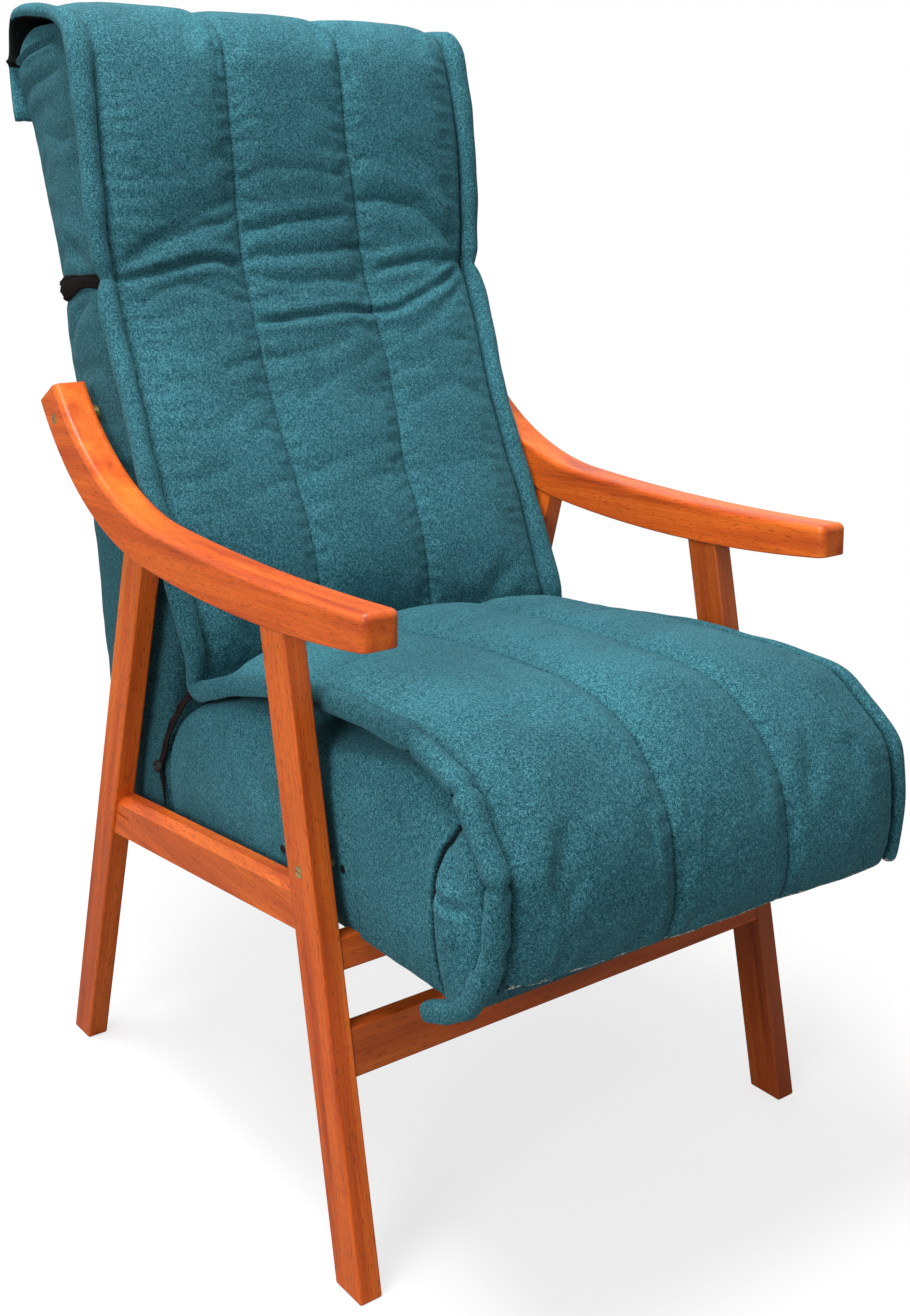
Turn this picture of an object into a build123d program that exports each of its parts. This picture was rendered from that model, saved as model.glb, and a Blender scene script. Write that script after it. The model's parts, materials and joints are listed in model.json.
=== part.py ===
from build123d import *
import math
import os

os.makedirs("parts", exist_ok=True)

# The chair faces -Y and stands on the floor at z = 0. Left and right are as seen from the front.
# Points of side outlines are (y, z) pairs.
plan_shift_y = 28.6            # moves each written solid, so the chair's middle is at y = 0

# Standing frame
frame_width = 552.0            # over the legs' outer faces
arm_height = 578.5             # of the armrests' undersides, at their level stretch
leg_thickness = 23.0
leg_rounding = 2.5
front_leg_foot_y = -322.0      # front edge at the floor
front_leg_depth = 40.7
front_leg_lean = 0.195         # rearward run for each unit of height
rear_leg_foot_y = 270.0        # rear edge at the floor
rear_leg_foot_depth = 37.3
rear_leg_top_depth = 41.7
rear_leg_lean = -0.288
leg_run_in_arm = 27.5          # of the legs' blanks, up into the armrests

# Armrests: a level stretch, then an arc that sweeps up behind
arm_width = 37.4
arm_overhang = 12.8            # of the outer face past the legs
arm_front_y = -354.0
arm_front_rise = 13.5          # rises are above arm_height
arm_front_thickness = 32.0
arm_level_mid_y = -150.0
arm_level_thickness = 42.0
arm_bend_bottom_y = 35.0
arm_bend_bottom_rise = 9.5
arm_bend_slant = 25.0          # of the joint face between the level stretch and the arc
arm_bend_top_rise = 49.5
arm_rear_bottom_rise = 147.5
arm_rear_slant = 37.0
arm_rear_top_rise = 169.5
arm_nose_rounding = 9.0
arm_top_rounding = 6.5
arm_bottom_rounding = 1.5

# Side rails, stub tenons and cross rails
rail_setback = 3.5
rail_thickness = 19.0
rail_rear_top_z = 315.0
rail_front_top_z = 346.0
rail_rear_bottom_z = 272.0
rail_front_bottom_z = 306.0
rail_bevel = 7.5
kerf_height = 1.6
kerf_length = 27.0
kerf_depth = 5.0
kerf_drop = 17.0
tenon_thickness = 9.0
tenon_shoulder = 6.0
tenon_length = 16.0
glue_gap = 0.15
cross_rail_thickness = 18.0
cross_rail_setback = 1.5
cross_rail_rounding = 2.0
front_stretcher_z = 188.0
front_stretcher_height = 42.0
front_cross_rail_z = 280.0
front_cross_rail_height = 28.0
rear_cross_rail_z = 258.0
rear_cross_rail_height = 40.0
rear_cross_rail_setback = 4.5
dowel_radius = 4.0
dowel_length = 38.0
dowel_spacing = 18.0

# Pivots of the linkage and how far it moves
pivot_from_post_middle = 13.92  # towards the front
pivot_inset = 34.0             # from the rear end of the armrest's underside
pivot_rise = 131.5
guide_rise = 46.0              # above the seat block's bottom
guide_from_front = 21.0        # of the front leg
recline_angle = 10.0
seat_ratio = -1.33             # seat angle on the back for each degree of recline
bolt_radius = 4.0
bolt_head_radius = 5.5
bolt_head_height = 3.0
bolt_slot_width = 1.4
bolt_slot_depth = 1.2
bore_clearance = 0.3
running_clearance = 0.06
pivot_bolt_reach = 70.0
bush_radius = 7.0
bush_flange_radius = 11.0
bush_end_gap = 0.4

# Upholstered back block
back_side_gap = 13.4           # to the armrests
block_edge = 12.0              # width of the drawn-in border at the sides
block_edge_inset = 9.0
block_edge_step_share = 0.35
back_height = 786.0
back_front_y = 92.0
back_reach = 304.0             # from the front of the foot to the rear of the head
back_front_shares = [(0.0, 0.155), (0.043, 0.327), (0.164, 0.473), (0.309, 0.613),
                     (0.418, 0.767), (0.451, 0.868), (0.480, 0.949)]
back_head_shares = [(0.540, 0.990), (0.680, 1.0), (0.860, 1.0), (0.970, 0.988), (0.995, 0.952)]
back_rear_mid_shares = (0.648, 0.481)
back_rear_low_shares = (0.429, 0.0)
core_wall = 8.0
post_thickness = 28.0
post_depth = 80.0
panel_thickness = 7.0
panel_bulge = 5.0
panel_top_share = 0.950
board_thickness = 22.0
band_thickness = 2.0
band_width = 50.0
back_band_count = 6
back_band_first_share = 0.16
back_band_last_share = 0.84
fit_gap = 0.3

# Upholstered seat block
seat_side_gap = 17.0           # to the front legs
seat_front_y = -412.0
block_gap = 8.0                # between the seat and the back
block_bottom_z = 318.0
seat_height = 171.0
seat_front_shares = [(0.016, 0.0), (-0.002, 0.363), (0.0, 0.655), (0.028, 0.889), (0.125, 1.0)]
seat_top_shares = [(0.448, 0.982), (0.770, 0.854)]
seat_rear_shares = [(0.935, 0.667), (0.996, 0.316), (1.006, 0.187), (1.0, 0.0)]
seat_wall = 3.5
seat_rail_thickness = 22.0
seat_rail_height = 55.0
seat_frame_front_gap = 16.0
seat_frame_rear_gap = 12.0
dust_cover_thickness = 1.2
seat_band_count = 5
seat_long_band_count = 3

# Guide plates on the seat's sides
plate_thickness = 3.0
plate_border = 6.5
plate_screw_spread = 17.0
slot_clearance = 0.5
screw_radius = 2.0
screw_head_radius = 3.8
screw_head_height = 2.2
screw_length = 20.0
screw_clearance = 0.2

# Hinges between seat and back
hinge_inset = 86.0             # of its middle from the seat block's side
hinge_length = 60.0
hinge_leaf_reach = 34.0
hinge_leaf_thickness = 2.0
hinge_barrel_radius = 5.0
hinge_pin_radius = 2.5
hinge_knuckle_gap = 0.4
hinge_screw_spread = 16.0
hinge_screw_inset = 9.0
hinge_screw_length = 15.0
hinge_drop = 0.1

# Quilted overlay: three lengthwise channels inside a border roll
quilt_gap = 0.4
back_quilt_overhang = 12.0     # past the sides of the block
seat_quilt_overhang = 7.0
roll_width = 24.0
roll_thickness = 25.0
roll_shares = [(0.0, 0.30, 0.40), (0.12, 0.12, 0.76), (0.5, 0.0, 1.0), (0.82, 0.0, 0.80), (1.0, 0.0, 0.52)]
channel_seam_thickness = 15.0
channel_seam_share = 0.352     # of the space inside the rolls, from its centre line
back_channel_puff = 12.0
seat_channel_puff = 12.0
back_fullness = [0.3, 0.4, 0.5, 0.5, 0.5, 0.5, 0.5, 0.6, 0.8, 1.0, 1.0, 1.0, 1.0, 1.0, 0.9, 0.7, 0.4]
seat_fullness = [0.4, 0.6, 0.8, 1.0, 1.0, 1.0, 1.0, 1.0, 1.0, 1.0, 1.0, 1.0, 1.0, 0.8, 0.5]
flap_length = 40.0
flap_gap = 1.6
crease_start_share = 0.398     # of the back's height
crease_shares = [(0.074, 1.0), (0.010, 0.668), (-0.055, 0.413), (-0.112, 0.163)]
crease_gap = 1.5
crease_turn = 17.0             # straight run of the overlay on the seat's side of the crease
seat_quilt_shares = [(0.860, 0.915), (0.760, 0.905), (0.600, 0.956), (0.460, 1.000), (0.300, 1.010),
                     (0.200, 1.011), (0.125, 1.004), (0.040, 0.950), (-0.018, 0.790), (-0.060, 0.630),
                     (-0.078, 0.430), (-0.076, 0.190), (-0.058, 0.030)]

# Elastic straps and buttons
strap_gap = 0.4
strap_swell = 1.0
strap_thickness = 1.6
lumbar_strap_width = 20.0
lumbar_strap_share = 0.677
crease_strap_width = 7.0
crease_strap_thickness = 1.2
crease_strap_shares = [(0.905, 0.860), (0.962, 0.667), (0.997, 0.440)]
tail_width = 2.4
tail_drop = 58.0
button_radius = 5.5
button_height = 5.0
button_bevel = 1.2

overrun = 5.0

# Derived places
leg_outer_x = frame_width / 2
leg_inner_x = leg_outer_x - leg_thickness
arm_outer_x = leg_outer_x + arm_overhang
arm_inner_x = arm_outer_x - arm_width
arm_front_bottom_z = arm_height + arm_front_rise
arm_bend_bottom_z = arm_height + arm_bend_bottom_rise
arm_bend_top_y = arm_bend_bottom_y - arm_bend_slant
arm_bend_top_z = arm_height + arm_bend_top_rise
arm_rear_bottom_z = arm_height + arm_rear_bottom_rise
arm_rear_top_z = arm_height + arm_rear_top_rise
leg_blank_height = arm_height + leg_run_in_arm
rail_outer_x = leg_outer_x - rail_setback
rail_inner_x = rail_outer_x - rail_thickness
back_half_width = arm_inner_x - back_side_gap
seat_half_width = leg_inner_x - seat_side_gap
back_bottom_z = seat_bottom_z = block_bottom_z
seat_rear_y = back_front_y - block_gap
seat_depth = seat_rear_y - seat_front_y
back_quilt_half_width = back_half_width + back_quilt_overhang
seat_quilt_half_width = seat_half_width + seat_quilt_overhang
crease_strap_offset_x = seat_half_width + strap_gap
hinge_offset_x = seat_half_width - hinge_inset
pivot_z = arm_height + pivot_rise
guide_z = seat_bottom_z + guide_rise
guide_y = front_leg_foot_y + front_leg_lean * guide_z + guide_from_front
hinge_y = (seat_rear_y + back_front_y) / 2
hinge_z = seat_bottom_z - hinge_drop - hinge_barrel_radius
sides = {"left": -1, "right": 1}


def write(node, *solids):
    placed = [solid.moved(Location((0, plan_shift_y, 0))) for solid in solids]
    export_step(placed[0] if len(placed) == 1 else Compound(children=placed), f"parts/{node}.step")


def span(sign, near, far):
    return (near, far) if sign > 0 else (-far, -near)


def side_wire(x, runs):
    # Each run is a line of two points or an arc through three.
    edges = []
    for run in runs:
        points = [Vector(x, y, z) for y, z in run]
        if len(points) == 2:
            edges.append(Edge.make_line(*points))
        else:
            edges.append(Edge.make_three_point_arc(*points))
    return Wire(edges)


def slab(runs, x_low, x_high):
    return Solid.extrude(Face(side_wire(x_low, runs)), Vector(x_high - x_low, 0, 0))


def polygon(points):
    return [[points[i], points[(i + 1) % len(points)]] for i in range(len(points))]


def block(low, high):
    size = [b - a for a, b in zip(low, high)]
    return Solid.make_box(*size, Plane(origin=low))


def rod(start, direction, radius, length):
    return Solid.make_cylinder(radius, length, Plane(origin=start, z_dir=direction))


def only_solid(shape):
    return shape.solids()[0]


def along(points, shares, origin_y, origin_z, reach, height, inset_y=0, inset_z=0):
    for y_share, z_share in shares:
        points.append((origin_y + y_share * reach + inset_y, origin_z + z_share * height + inset_z))
    return points


# Standing frame


def front_leg_y(z, from_front=0):
    return front_leg_foot_y + from_front + front_leg_lean * z


def rear_leg_y(z, from_rear=0):
    return rear_leg_foot_y - from_rear + rear_leg_lean * z


def rear_leg_front_y(z):
    grown = (rear_leg_top_depth - rear_leg_foot_depth) * z / leg_blank_height
    return rear_leg_y(z, rear_leg_foot_depth + grown)


def arm_blank(sign):
    front_top_z = arm_front_bottom_z + arm_front_thickness
    x_low, x_high = span(sign, arm_inner_x, arm_outer_x)

    def at(y, z):
        return Vector(x_low, y, z)

    under = Edge.make_three_point_arc(at(arm_front_y, arm_front_bottom_z),
                                      at(arm_level_mid_y, arm_height),
                                      at(arm_bend_bottom_y, arm_bend_bottom_z))
    over = Edge.make_three_point_arc(at(arm_front_y, front_top_z),
                                     at(arm_level_mid_y, arm_height + arm_level_thickness),
                                     at(arm_bend_top_y, arm_bend_top_z))
    rear_low = at(arm_rear_bottom_y, arm_rear_bottom_z)
    rear_high = at(arm_rear_top_y, arm_rear_top_z)
    under_bend = Edge.make_tangent_arc(under @ 1, under % 1, rear_low)
    over_bend = Edge.make_tangent_arc(over @ 1, over % 1, rear_high)
    front = Edge.make_line(under @ 0, over @ 0)
    rear = Edge.make_line(rear_low, rear_high)
    face = Face(Wire([front, under, under_bend, rear, over_bend, over]))
    return Solid.extrude(face, Vector(x_high - x_low, 0, 0))


def long_edges(solid, shortest):
    return [edge for edge in solid.edges() if edge.length > shortest]


def arm_edges(arm, upper):
    # The upper or the lower edges along both sides of an armrest.
    edges = []
    for way in (-1, 1):
        run = sorted([e for e in long_edges(arm, 2 * arm_width) if e.center().Y * way > 0],
                     key=lambda edge: edge.center().Z)
        half = len(run) // 2
        edges += run[half:] if upper else run[:half]
    return edges


def armrest(sign):
    arm = arm_blank(sign)
    nose = [e for e in arm.edges() if abs(e.center().Y - arm_front_y) < glue_gap
            and abs((e % 0).Z) > abs((e % 0).X)]
    arm = arm.fillet(arm_nose_rounding, nose)
    arm = arm.fillet(arm_top_rounding, arm_edges(arm, True))
    arm = arm.fillet(arm_bottom_rounding, arm_edges(arm, False))
    return only_solid(arm)


def leg_blank(front):
    top = leg_blank_height
    if front:
        points = [(front_leg_y(0), 0), (front_leg_y(0, front_leg_depth), 0),
                  (front_leg_y(top, front_leg_depth), top), (front_leg_y(top), top)]
    else:
        points = [(rear_leg_front_y(0), 0), (rear_leg_y(0), 0),
                  (rear_leg_y(top), top), (rear_leg_front_y(top), top)]
    return points


def leg_joint(front):
    # Middle of the joint face under the armrest.
    z = arm_height if front else arm_bend_bottom_z
    middle_y = front_leg_y(z, front_leg_depth / 2) if front else (rear_leg_y(z) + rear_leg_front_y(z)) / 2
    return middle_y, z


def leg_dowel_pair(sign, front, grow=0):
    lean = front_leg_lean if front else rear_leg_lean
    direction = Vector(0, lean, 1).normalized()
    middle_y, z = leg_joint(front)
    x = sign * (leg_outer_x - leg_thickness / 2)
    pair = []
    for way in (-1, 1):
        centre = Vector(x, middle_y + way * dowel_spacing / 2, z)
        start = centre - direction * (dowel_length / 2 + grow)
        pair.append(rod(start, direction, dowel_radius + grow, dowel_length + 2 * grow))
    return pair


def leg(sign, front, cutters):
    x_low, x_high = span(sign, leg_inner_x, leg_outer_x)
    body = slab(polygon(leg_blank(front)), x_low, x_high)
    foot = body.faces().sort_by(Axis.Z)[0]
    body = body.fillet(leg_rounding, long_edges(body, leg_blank_height / 2) + list(foot.edges()))
    for cutter in cutters:
        body = body - cutter
    return only_solid(body)


def rail_corners():
    front_bottom = (front_leg_y(rail_front_bottom_z, front_leg_depth), rail_front_bottom_z)
    front_top = (front_leg_y(rail_front_top_z, front_leg_depth), rail_front_top_z)
    rear_bottom = (rear_leg_front_y(rail_rear_bottom_z), rail_rear_bottom_z)
    rear_top = (rear_leg_front_y(rail_rear_top_z), rail_rear_top_z)
    return front_bottom, front_top, rear_bottom, rear_top


def stub(sign, bottom, top, way, grow=0):
    # A tenon that runs on from the end of a side rail, into its leg.
    rise = (Vector(0, *top) - Vector(0, *bottom)).normalized()
    shoulder = rise * (tenon_shoulder - grow)
    low = Vector(0, *bottom) + shoulder
    high = Vector(0, *top) - shoulder
    out = Vector(0, way * (tenon_length + grow), 0)
    ring = [low, low + out, high + out, high]
    middle_x = sign * (rail_inner_x + rail_outer_x) / 2
    half = tenon_thickness / 2 + grow
    return slab(polygon([(p.Y, p.Z) for p in ring]), middle_x - half, middle_x + half)


def rail_stubs(sign, grow=0):
    front_bottom, front_top, rear_bottom, rear_top = rail_corners()
    return (stub(sign, front_bottom, front_top, -1, grow), stub(sign, rear_bottom, rear_top, 1, grow))


def side_rail(sign):
    front_bottom, front_top, rear_bottom, rear_top = rail_corners()
    x_low, x_high = span(sign, rail_inner_x, rail_outer_x)
    rail = slab(polygon([front_bottom, rear_bottom, rear_top, front_top]), x_low, x_high)
    top_edges = long_edges(rail.faces().sort_by(Axis.Z)[-1], rail_thickness)
    bevelled = max(top_edges, key=lambda edge: edge.center().X * sign)
    rail = rail.chamfer(rail_bevel, None, [bevelled])
    kerf_z = rear_top[1] - kerf_drop
    kerf_y = rear_leg_front_y(kerf_z)
    kerf_low, kerf_high = span(sign, rail_outer_x - kerf_depth, rail_outer_x + overrun)
    kerf = block((kerf_low, kerf_y - kerf_length, kerf_z - kerf_height),
                 (kerf_high, kerf_y + overrun, kerf_z))
    rail = rail - kerf
    for tenon in rail_stubs(sign):
        rail = rail + tenon
    return only_solid(rail)


def cross_section(z, height, grow=0):
    # Front cross members lean with the front legs.
    low, high = z - grow, z + height + grow
    near = cross_rail_setback - grow
    far = cross_rail_setback + cross_rail_thickness + grow
    return [(front_leg_y(low, near), low), (front_leg_y(low, far), low),
            (front_leg_y(high, far), high), (front_leg_y(high, near), high)]


def rear_cross_section(z, height, grow=0):
    low, high = z - grow, z + height + grow
    near = rear_cross_rail_setback - grow
    far = rear_cross_rail_setback + cross_rail_thickness + grow
    return [(rear_leg_y(low, near), low), (rear_leg_y(low, far), low),
            (rear_leg_y(high, far), high), (rear_leg_y(high, near), high)]


def cross_member(section, z, height):
    rail = slab(polygon(section(z, height)), -leg_inner_x, leg_inner_x)
    rail = rail.fillet(cross_rail_rounding, long_edges(rail, leg_inner_x))
    return only_solid(rail + cross_tenon(section, z, height))


def cross_tenon(section, z, height, grow=0):
    reach = leg_inner_x + tenon_length + grow
    inner = section(z + tenon_shoulder, height - 2 * tenon_shoulder, grow - tenon_shoulder / 2)
    inner_low = z + tenon_shoulder - grow
    inner = [(y, min(max(p, inner_low), z + height - tenon_shoulder + grow)) for y, p in inner]
    return slab(polygon(inner), -reach, reach)


def cross_members():
    return {"front_stretcher": (cross_section, front_stretcher_z, front_stretcher_height),
            "front_cross_rail": (cross_section, front_cross_rail_z, front_cross_rail_height),
            "rear_cross_rail": (rear_cross_section, rear_cross_rail_z, rear_cross_rail_height)}


def headed_bolt(sign, outer_x, length, y, z):
    # A slotted flat head, let in flush with the wood.
    way = Vector(-sign, 0, 0)
    start = Vector(sign * outer_x, y, z)
    bolt = rod(start, way, bolt_head_radius, bolt_head_height)
    bolt = bolt + rod(start, way, bolt_radius, length)
    low, high = span(sign, outer_x - bolt_slot_depth, outer_x + overrun)
    half = bolt_slot_width / 2
    slot = block((low, y - bolt_head_radius, z - half), (high, y + bolt_head_radius, z + half))
    return only_solid(bolt - slot)


def bolt_hole(sign, outer_x, length, y, z, radius):
    way = Vector(-sign, 0, 0)
    start = Vector(sign * (outer_x + overrun), y, z)
    head = rod(start, way, bolt_head_radius + bore_clearance, bolt_head_height + overrun + glue_gap)
    return head + rod(start, way, radius, length + overrun)


def build_frame():
    for side, sign in sides.items():
        x_low, x_high = span(sign, arm_inner_x, arm_outer_x)
        blank = arm_blank(sign)
        dowel_holes = {front: leg_dowel_pair(sign, front, glue_gap) for front in (True, False)}
        arm = armrest(sign)
        for hole in dowel_holes[True] + dowel_holes[False]:
            arm = arm - hole
        arm = arm - bolt_hole(sign, arm_outer_x, arm_width + overrun, pivot_y, pivot_z,
                              bolt_radius + bore_clearance)
        write(f"armrest_{side}", only_solid(arm))
        front_mortise, rear_mortise = rail_stubs(sign, glue_gap)
        rails = [cross_tenon(*member, glue_gap) for member in cross_members().values()]
        guide_hole = bolt_hole(sign, leg_outer_x, leg_thickness + overrun, guide_y, guide_z,
                               bolt_radius + bore_clearance)
        write(f"front_leg_{side}",
              leg(sign, True, [blank, front_mortise, rails[0], rails[1], guide_hole] + dowel_holes[True]))
        write(f"rear_leg_{side}", leg(sign, False, [blank, rear_mortise, rails[2]] + dowel_holes[False]))
        write(f"side_rail_{side}", side_rail(sign))
    for node, member in cross_members().items():
        write(node, cross_member(*member))
    write("leg_dowels", *[dowel for sign in sides.values() for front in (True, False)
                          for dowel in leg_dowel_pair(sign, front)])
    write("back_pivot_bolts", *[headed_bolt(sign, arm_outer_x, pivot_bolt_reach, pivot_y, pivot_z)
                                for sign in sides.values()])
    guide_length = leg_outer_x - seat_half_width - fit_gap
    write("seat_guide_bolts", *[headed_bolt(sign, leg_outer_x, guide_length, guide_y, guide_z)
                                for sign in sides.values()])


# Upholstered blocks


def back_points(shares, inset_y=0, inset_z=0):
    return along([], shares, back_front_y, back_bottom_z, back_reach, back_height, inset_y, inset_z)


def back_rear_points(shift=0):
    # Low, middle and high point of the arc of the block's rear face.
    low = (back_front_y + back_rear_low_shares[0] * back_reach + shift, back_bottom_z)
    middle = back_points([back_rear_mid_shares], shift)[0]
    high = back_points([back_head_shares[-1]], shift)[0]
    return low, middle, high


def rear_arc_centre():
    (y1, z1), (y2, z2), (y3, z3) = back_rear_points()
    d = 2 * (y1 * (z2 - z3) + y2 * (z3 - z1) + y3 * (z1 - z2))
    s1, s2, s3 = y1 * y1 + z1 * z1, y2 * y2 + z2 * z2, y3 * y3 + z3 * z3
    centre_y = (s1 * (z2 - z3) + s2 * (z3 - z1) + s3 * (z1 - z2)) / d
    centre_z = (s1 * (y3 - y2) + s2 * (y1 - y3) + s3 * (y2 - y1)) / d
    return centre_y, centre_z, math.hypot(y1 - centre_y, z1 - centre_z)


def rear_y(z, shift=0):
    centre_y, centre_z, radius = rear_arc_centre()
    reach = math.sqrt(radius * radius - (z - centre_z) ** 2)
    return centre_y + math.copysign(reach, back_front_y - centre_y) + shift


def rear_slope(z):
    centre_y, centre_z, radius = rear_arc_centre()
    return -(z - centre_z) / (rear_y(z) - centre_y)


def rear_run(z_low, z_high, shift):
    middle = (z_low + z_high) / 2
    return [(rear_y(z_low, shift), z_low), (rear_y(middle, shift), middle), (rear_y(z_high, shift), z_high)]


def curved_board(z_low, z_high, shift_front, shift_rear, x_low, x_high):
    # A board that follows the curve of the block's rear face.
    front = rear_run(z_low, z_high, shift_front)
    rear = rear_run(z_low, z_high, shift_rear)
    runs = [front, [front[2], rear[2]], rear, [rear[0], front[0]]]
    return slab(runs, x_low, x_high)


def back_core_runs(inset):
    front = back_points(back_front_shares, inset)
    foot = (front[0][0], back_bottom_z)
    head = back_points(back_head_shares, 0, -inset)
    head[0] = (head[0][0] + inset, head[0][1])
    head[3] = (head[3][0] - inset, head[3][1])
    low, middle, high = back_rear_points(-inset)
    return [[foot, front[0]], front[0:3], front[2:5], front[4:7], [front[6], head[0], head[1]],
            [head[1], head[2]], [head[2], head[3], high], [high, middle, low], [low, foot]]


def edge_stations(half_width):
    # The sides of a block are drawn in towards its edges in two steps.
    step = block_edge * block_edge_step_share
    step_inset = block_edge_inset * block_edge_step_share
    outer = [(half_width, block_edge_inset), (half_width - step, step_inset), (half_width - block_edge, 0)]
    return [(-x, inset) for x, inset in outer] + [(x, inset) for x, inset in reversed(outer)]


def soft_block(core_runs, half_width):
    wires = [side_wire(x, core_runs(inset)) for x, inset in edge_stations(half_width)]
    return Solid.make_loft(wires, ruled=True)


def back_inner_x():
    return back_half_width - core_wall


def post_top_z():
    return back_bottom_z + panel_top_share * back_height


def bottom_board_front_y():
    return back_front_y + core_wall


def back_recess():
    # Room for the inner frame, open behind and below.
    x = back_inner_x()
    depth = panel_thickness + fit_gap + post_depth + 2 * band_thickness
    top = post_top_z() + fit_gap
    behind = curved_board(back_bottom_z - overrun, top, -depth, post_depth, -x, x)
    foot = block((-x, bottom_board_front_y() - fit_gap, back_bottom_z - overrun),
                 (x, rear_y(back_bottom_z) + overrun, back_bottom_z + board_thickness + 2 * fit_gap))
    return behind + foot


def back_core():
    core = soft_block(back_core_runs, back_half_width) - back_recess()
    reach = back_half_width + overrun
    for sign in sides.values():
        start = Vector(sign * reach, pivot_y, pivot_z)
        core = core - rod(start, Vector(-sign, 0, 0), bush_radius + bore_clearance, reach / 2)
    return only_solid(core)


def post(sign):
    x_low, x_high = span(sign, back_inner_x() - post_thickness, back_inner_x() - fit_gap)
    rear = -panel_thickness - fit_gap
    low = back_bottom_z + board_thickness + fit_gap
    body = curved_board(low, post_top_z(), rear - post_depth, rear, x_low, x_high)
    start = Vector(sign * back_half_width, pivot_y, pivot_z)
    return only_solid(body - rod(start, Vector(-sign, 0, 0), bush_radius, back_half_width / 2))


def back_boards():
    x = back_inner_x() - fit_gap
    low = back_bottom_z + fit_gap
    bottom = block((-x, bottom_board_front_y(), low),
                   (x, rear_y(low) - panel_thickness - fit_gap, low + board_thickness - fit_gap))
    for x_hole in hinge_screw_places():
        bottom = bottom - hinge_screw(x_hole, 1, screw_clearance)
    inner = back_inner_x() - post_thickness - fit_gap
    rear = -panel_thickness - fit_gap
    top_low = post_top_z() - board_thickness * 2
    top = curved_board(top_low, post_top_z(), rear - post_depth, rear - post_depth + board_thickness,
                       -inner, inner)
    return only_solid(bottom), only_solid(top)


def back_bands():
    x = back_inner_x() - fit_gap
    shift = -panel_thickness - fit_gap * 2 - post_depth
    bands = []
    for i in range(back_band_count):
        share = back_band_first_share + (back_band_last_share - back_band_first_share) * i / (back_band_count - 1)
        z = back_bottom_z + share * back_height
        bands.append(curved_board(z - band_width / 2, z + band_width / 2, shift - band_thickness, shift, -x, x))
    return bands


def back_panel():
    # The rear cover is flush at its border and swells in the middle.
    x = back_inner_x() - fit_gap
    low, high = back_bottom_z + fit_gap, post_top_z()
    wires = []
    for x_at, bulge in ((-x, 0), (0, panel_bulge), (x, 0)):
        front = rear_run(low, high, -panel_thickness)
        rear = rear_run(low, high, 0)
        rear[1] = (rear[1][0] + bulge, rear[1][1])
        wires.append(side_wire(x_at, [front, [front[2], rear[2]], rear, [rear[0], front[0]]]))
    return Solid.make_loft(wires)


def bush(sign):
    # The flange keeps the block clear of the armrest.
    inner = back_inner_x() - post_thickness
    outer = arm_inner_x - bush_end_gap
    way = Vector(sign, 0, 0)
    body = rod(Vector(sign * inner, pivot_y, pivot_z), way, bush_radius, outer - inner)
    flange_start = back_half_width + fit_gap
    body = body + rod(Vector(sign * flange_start, pivot_y, pivot_z), way, bush_flange_radius,
                      outer - flange_start)
    bore_start = Vector(sign * (inner - overrun), pivot_y, pivot_z)
    return only_solid(body - rod(bore_start, way, bolt_radius + running_clearance, arm_outer_x))


def seat_points(shares, inset_y=0, inset_z=0):
    return along([], shares, seat_front_y, seat_bottom_z, seat_depth, seat_height, inset_y, inset_z)


def seat_core_runs(inset):
    front = seat_points(seat_front_shares, inset)
    front[4] = (front[4][0] - inset, front[4][1] - inset)
    front[3] = (front[3][0], front[3][1] - inset / 2)
    top = seat_points(seat_top_shares, 0, -inset)
    rear = seat_points(seat_rear_shares, -inset)
    return [front[0:3], front[2:5], [front[4], top[0], top[1]], [top[1], rear[0], rear[1]],
            rear[1:4], [rear[3], front[0]]]


def seat_frame_box(grow=0):
    x = seat_half_width - seat_wall - fit_gap + grow
    front = seat_front_y + seat_frame_front_gap - grow
    rear = seat_rear_y - seat_frame_rear_gap + grow
    return x, front, rear


def seat_frame_z():
    low = seat_bottom_z + dust_cover_thickness + fit_gap
    return low, low + seat_rail_height


def seat_core():
    x, front, rear = seat_frame_box(fit_gap)
    top = seat_frame_z()[1] + 2 * band_thickness + 3 * fit_gap
    core = soft_block(seat_core_runs, seat_half_width)
    core = core - block((-x, front, seat_bottom_z - overrun), (x, rear, top))
    for hole in guide_screw_set(screw_clearance):
        core = core - hole
    return only_solid(core)


def seat_rails():
    x, front, rear = seat_frame_box()
    low, high = seat_frame_z()
    rails = {}
    for side, sign in sides.items():
        x_low, x_high = span(sign, x - seat_rail_thickness, x)
        rail = block((x_low, front, low), (x_high, rear, high))
        for hole in guide_screw_set(screw_clearance):
            rail = rail - hole
        rails[f"seat_side_rail_{side}"] = only_solid(rail)
    inner = x - seat_rail_thickness
    rails["seat_front_rail"] = block((-inner, front, low), (inner, front + seat_rail_thickness, high))
    rear_rail = block((-inner, rear - seat_rail_thickness, low), (inner, rear, high))
    for x_hole in hinge_screw_places():
        rear_rail = rear_rail - hinge_screw(x_hole, -1, screw_clearance)
    rails["seat_rear_rail"] = only_solid(rear_rail)
    return rails


def seat_bands():
    x, front, rear = seat_frame_box()
    low = seat_frame_z()[1] + fit_gap
    bands = []
    pitch = (rear - front) / seat_band_count
    for i in range(seat_band_count):
        y = front + pitch * (i + 1 / 2)
        bands.append(block((-x, y - band_width / 2, low), (x, y + band_width / 2, low + band_thickness)))
    low = low + band_thickness + fit_gap
    pitch = 2 * x / seat_long_band_count
    for i in range(seat_long_band_count):
        x_at = -x + pitch * (i + 1 / 2)
        bands.append(block((x_at - band_width / 2, front, low),
                           (x_at + band_width / 2, rear, low + band_thickness)))
    return bands


def dust_cover():
    x, front, rear = seat_frame_box()
    cover = block((-x, front, seat_bottom_z), (x, rear, seat_bottom_z + dust_cover_thickness))
    for x_hole in hinge_screw_places():
        cover = cover - hinge_screw(x_hole, -1, screw_clearance)
    return only_solid(cover)


# Linkage between the seat, the back and the front legs


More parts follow.
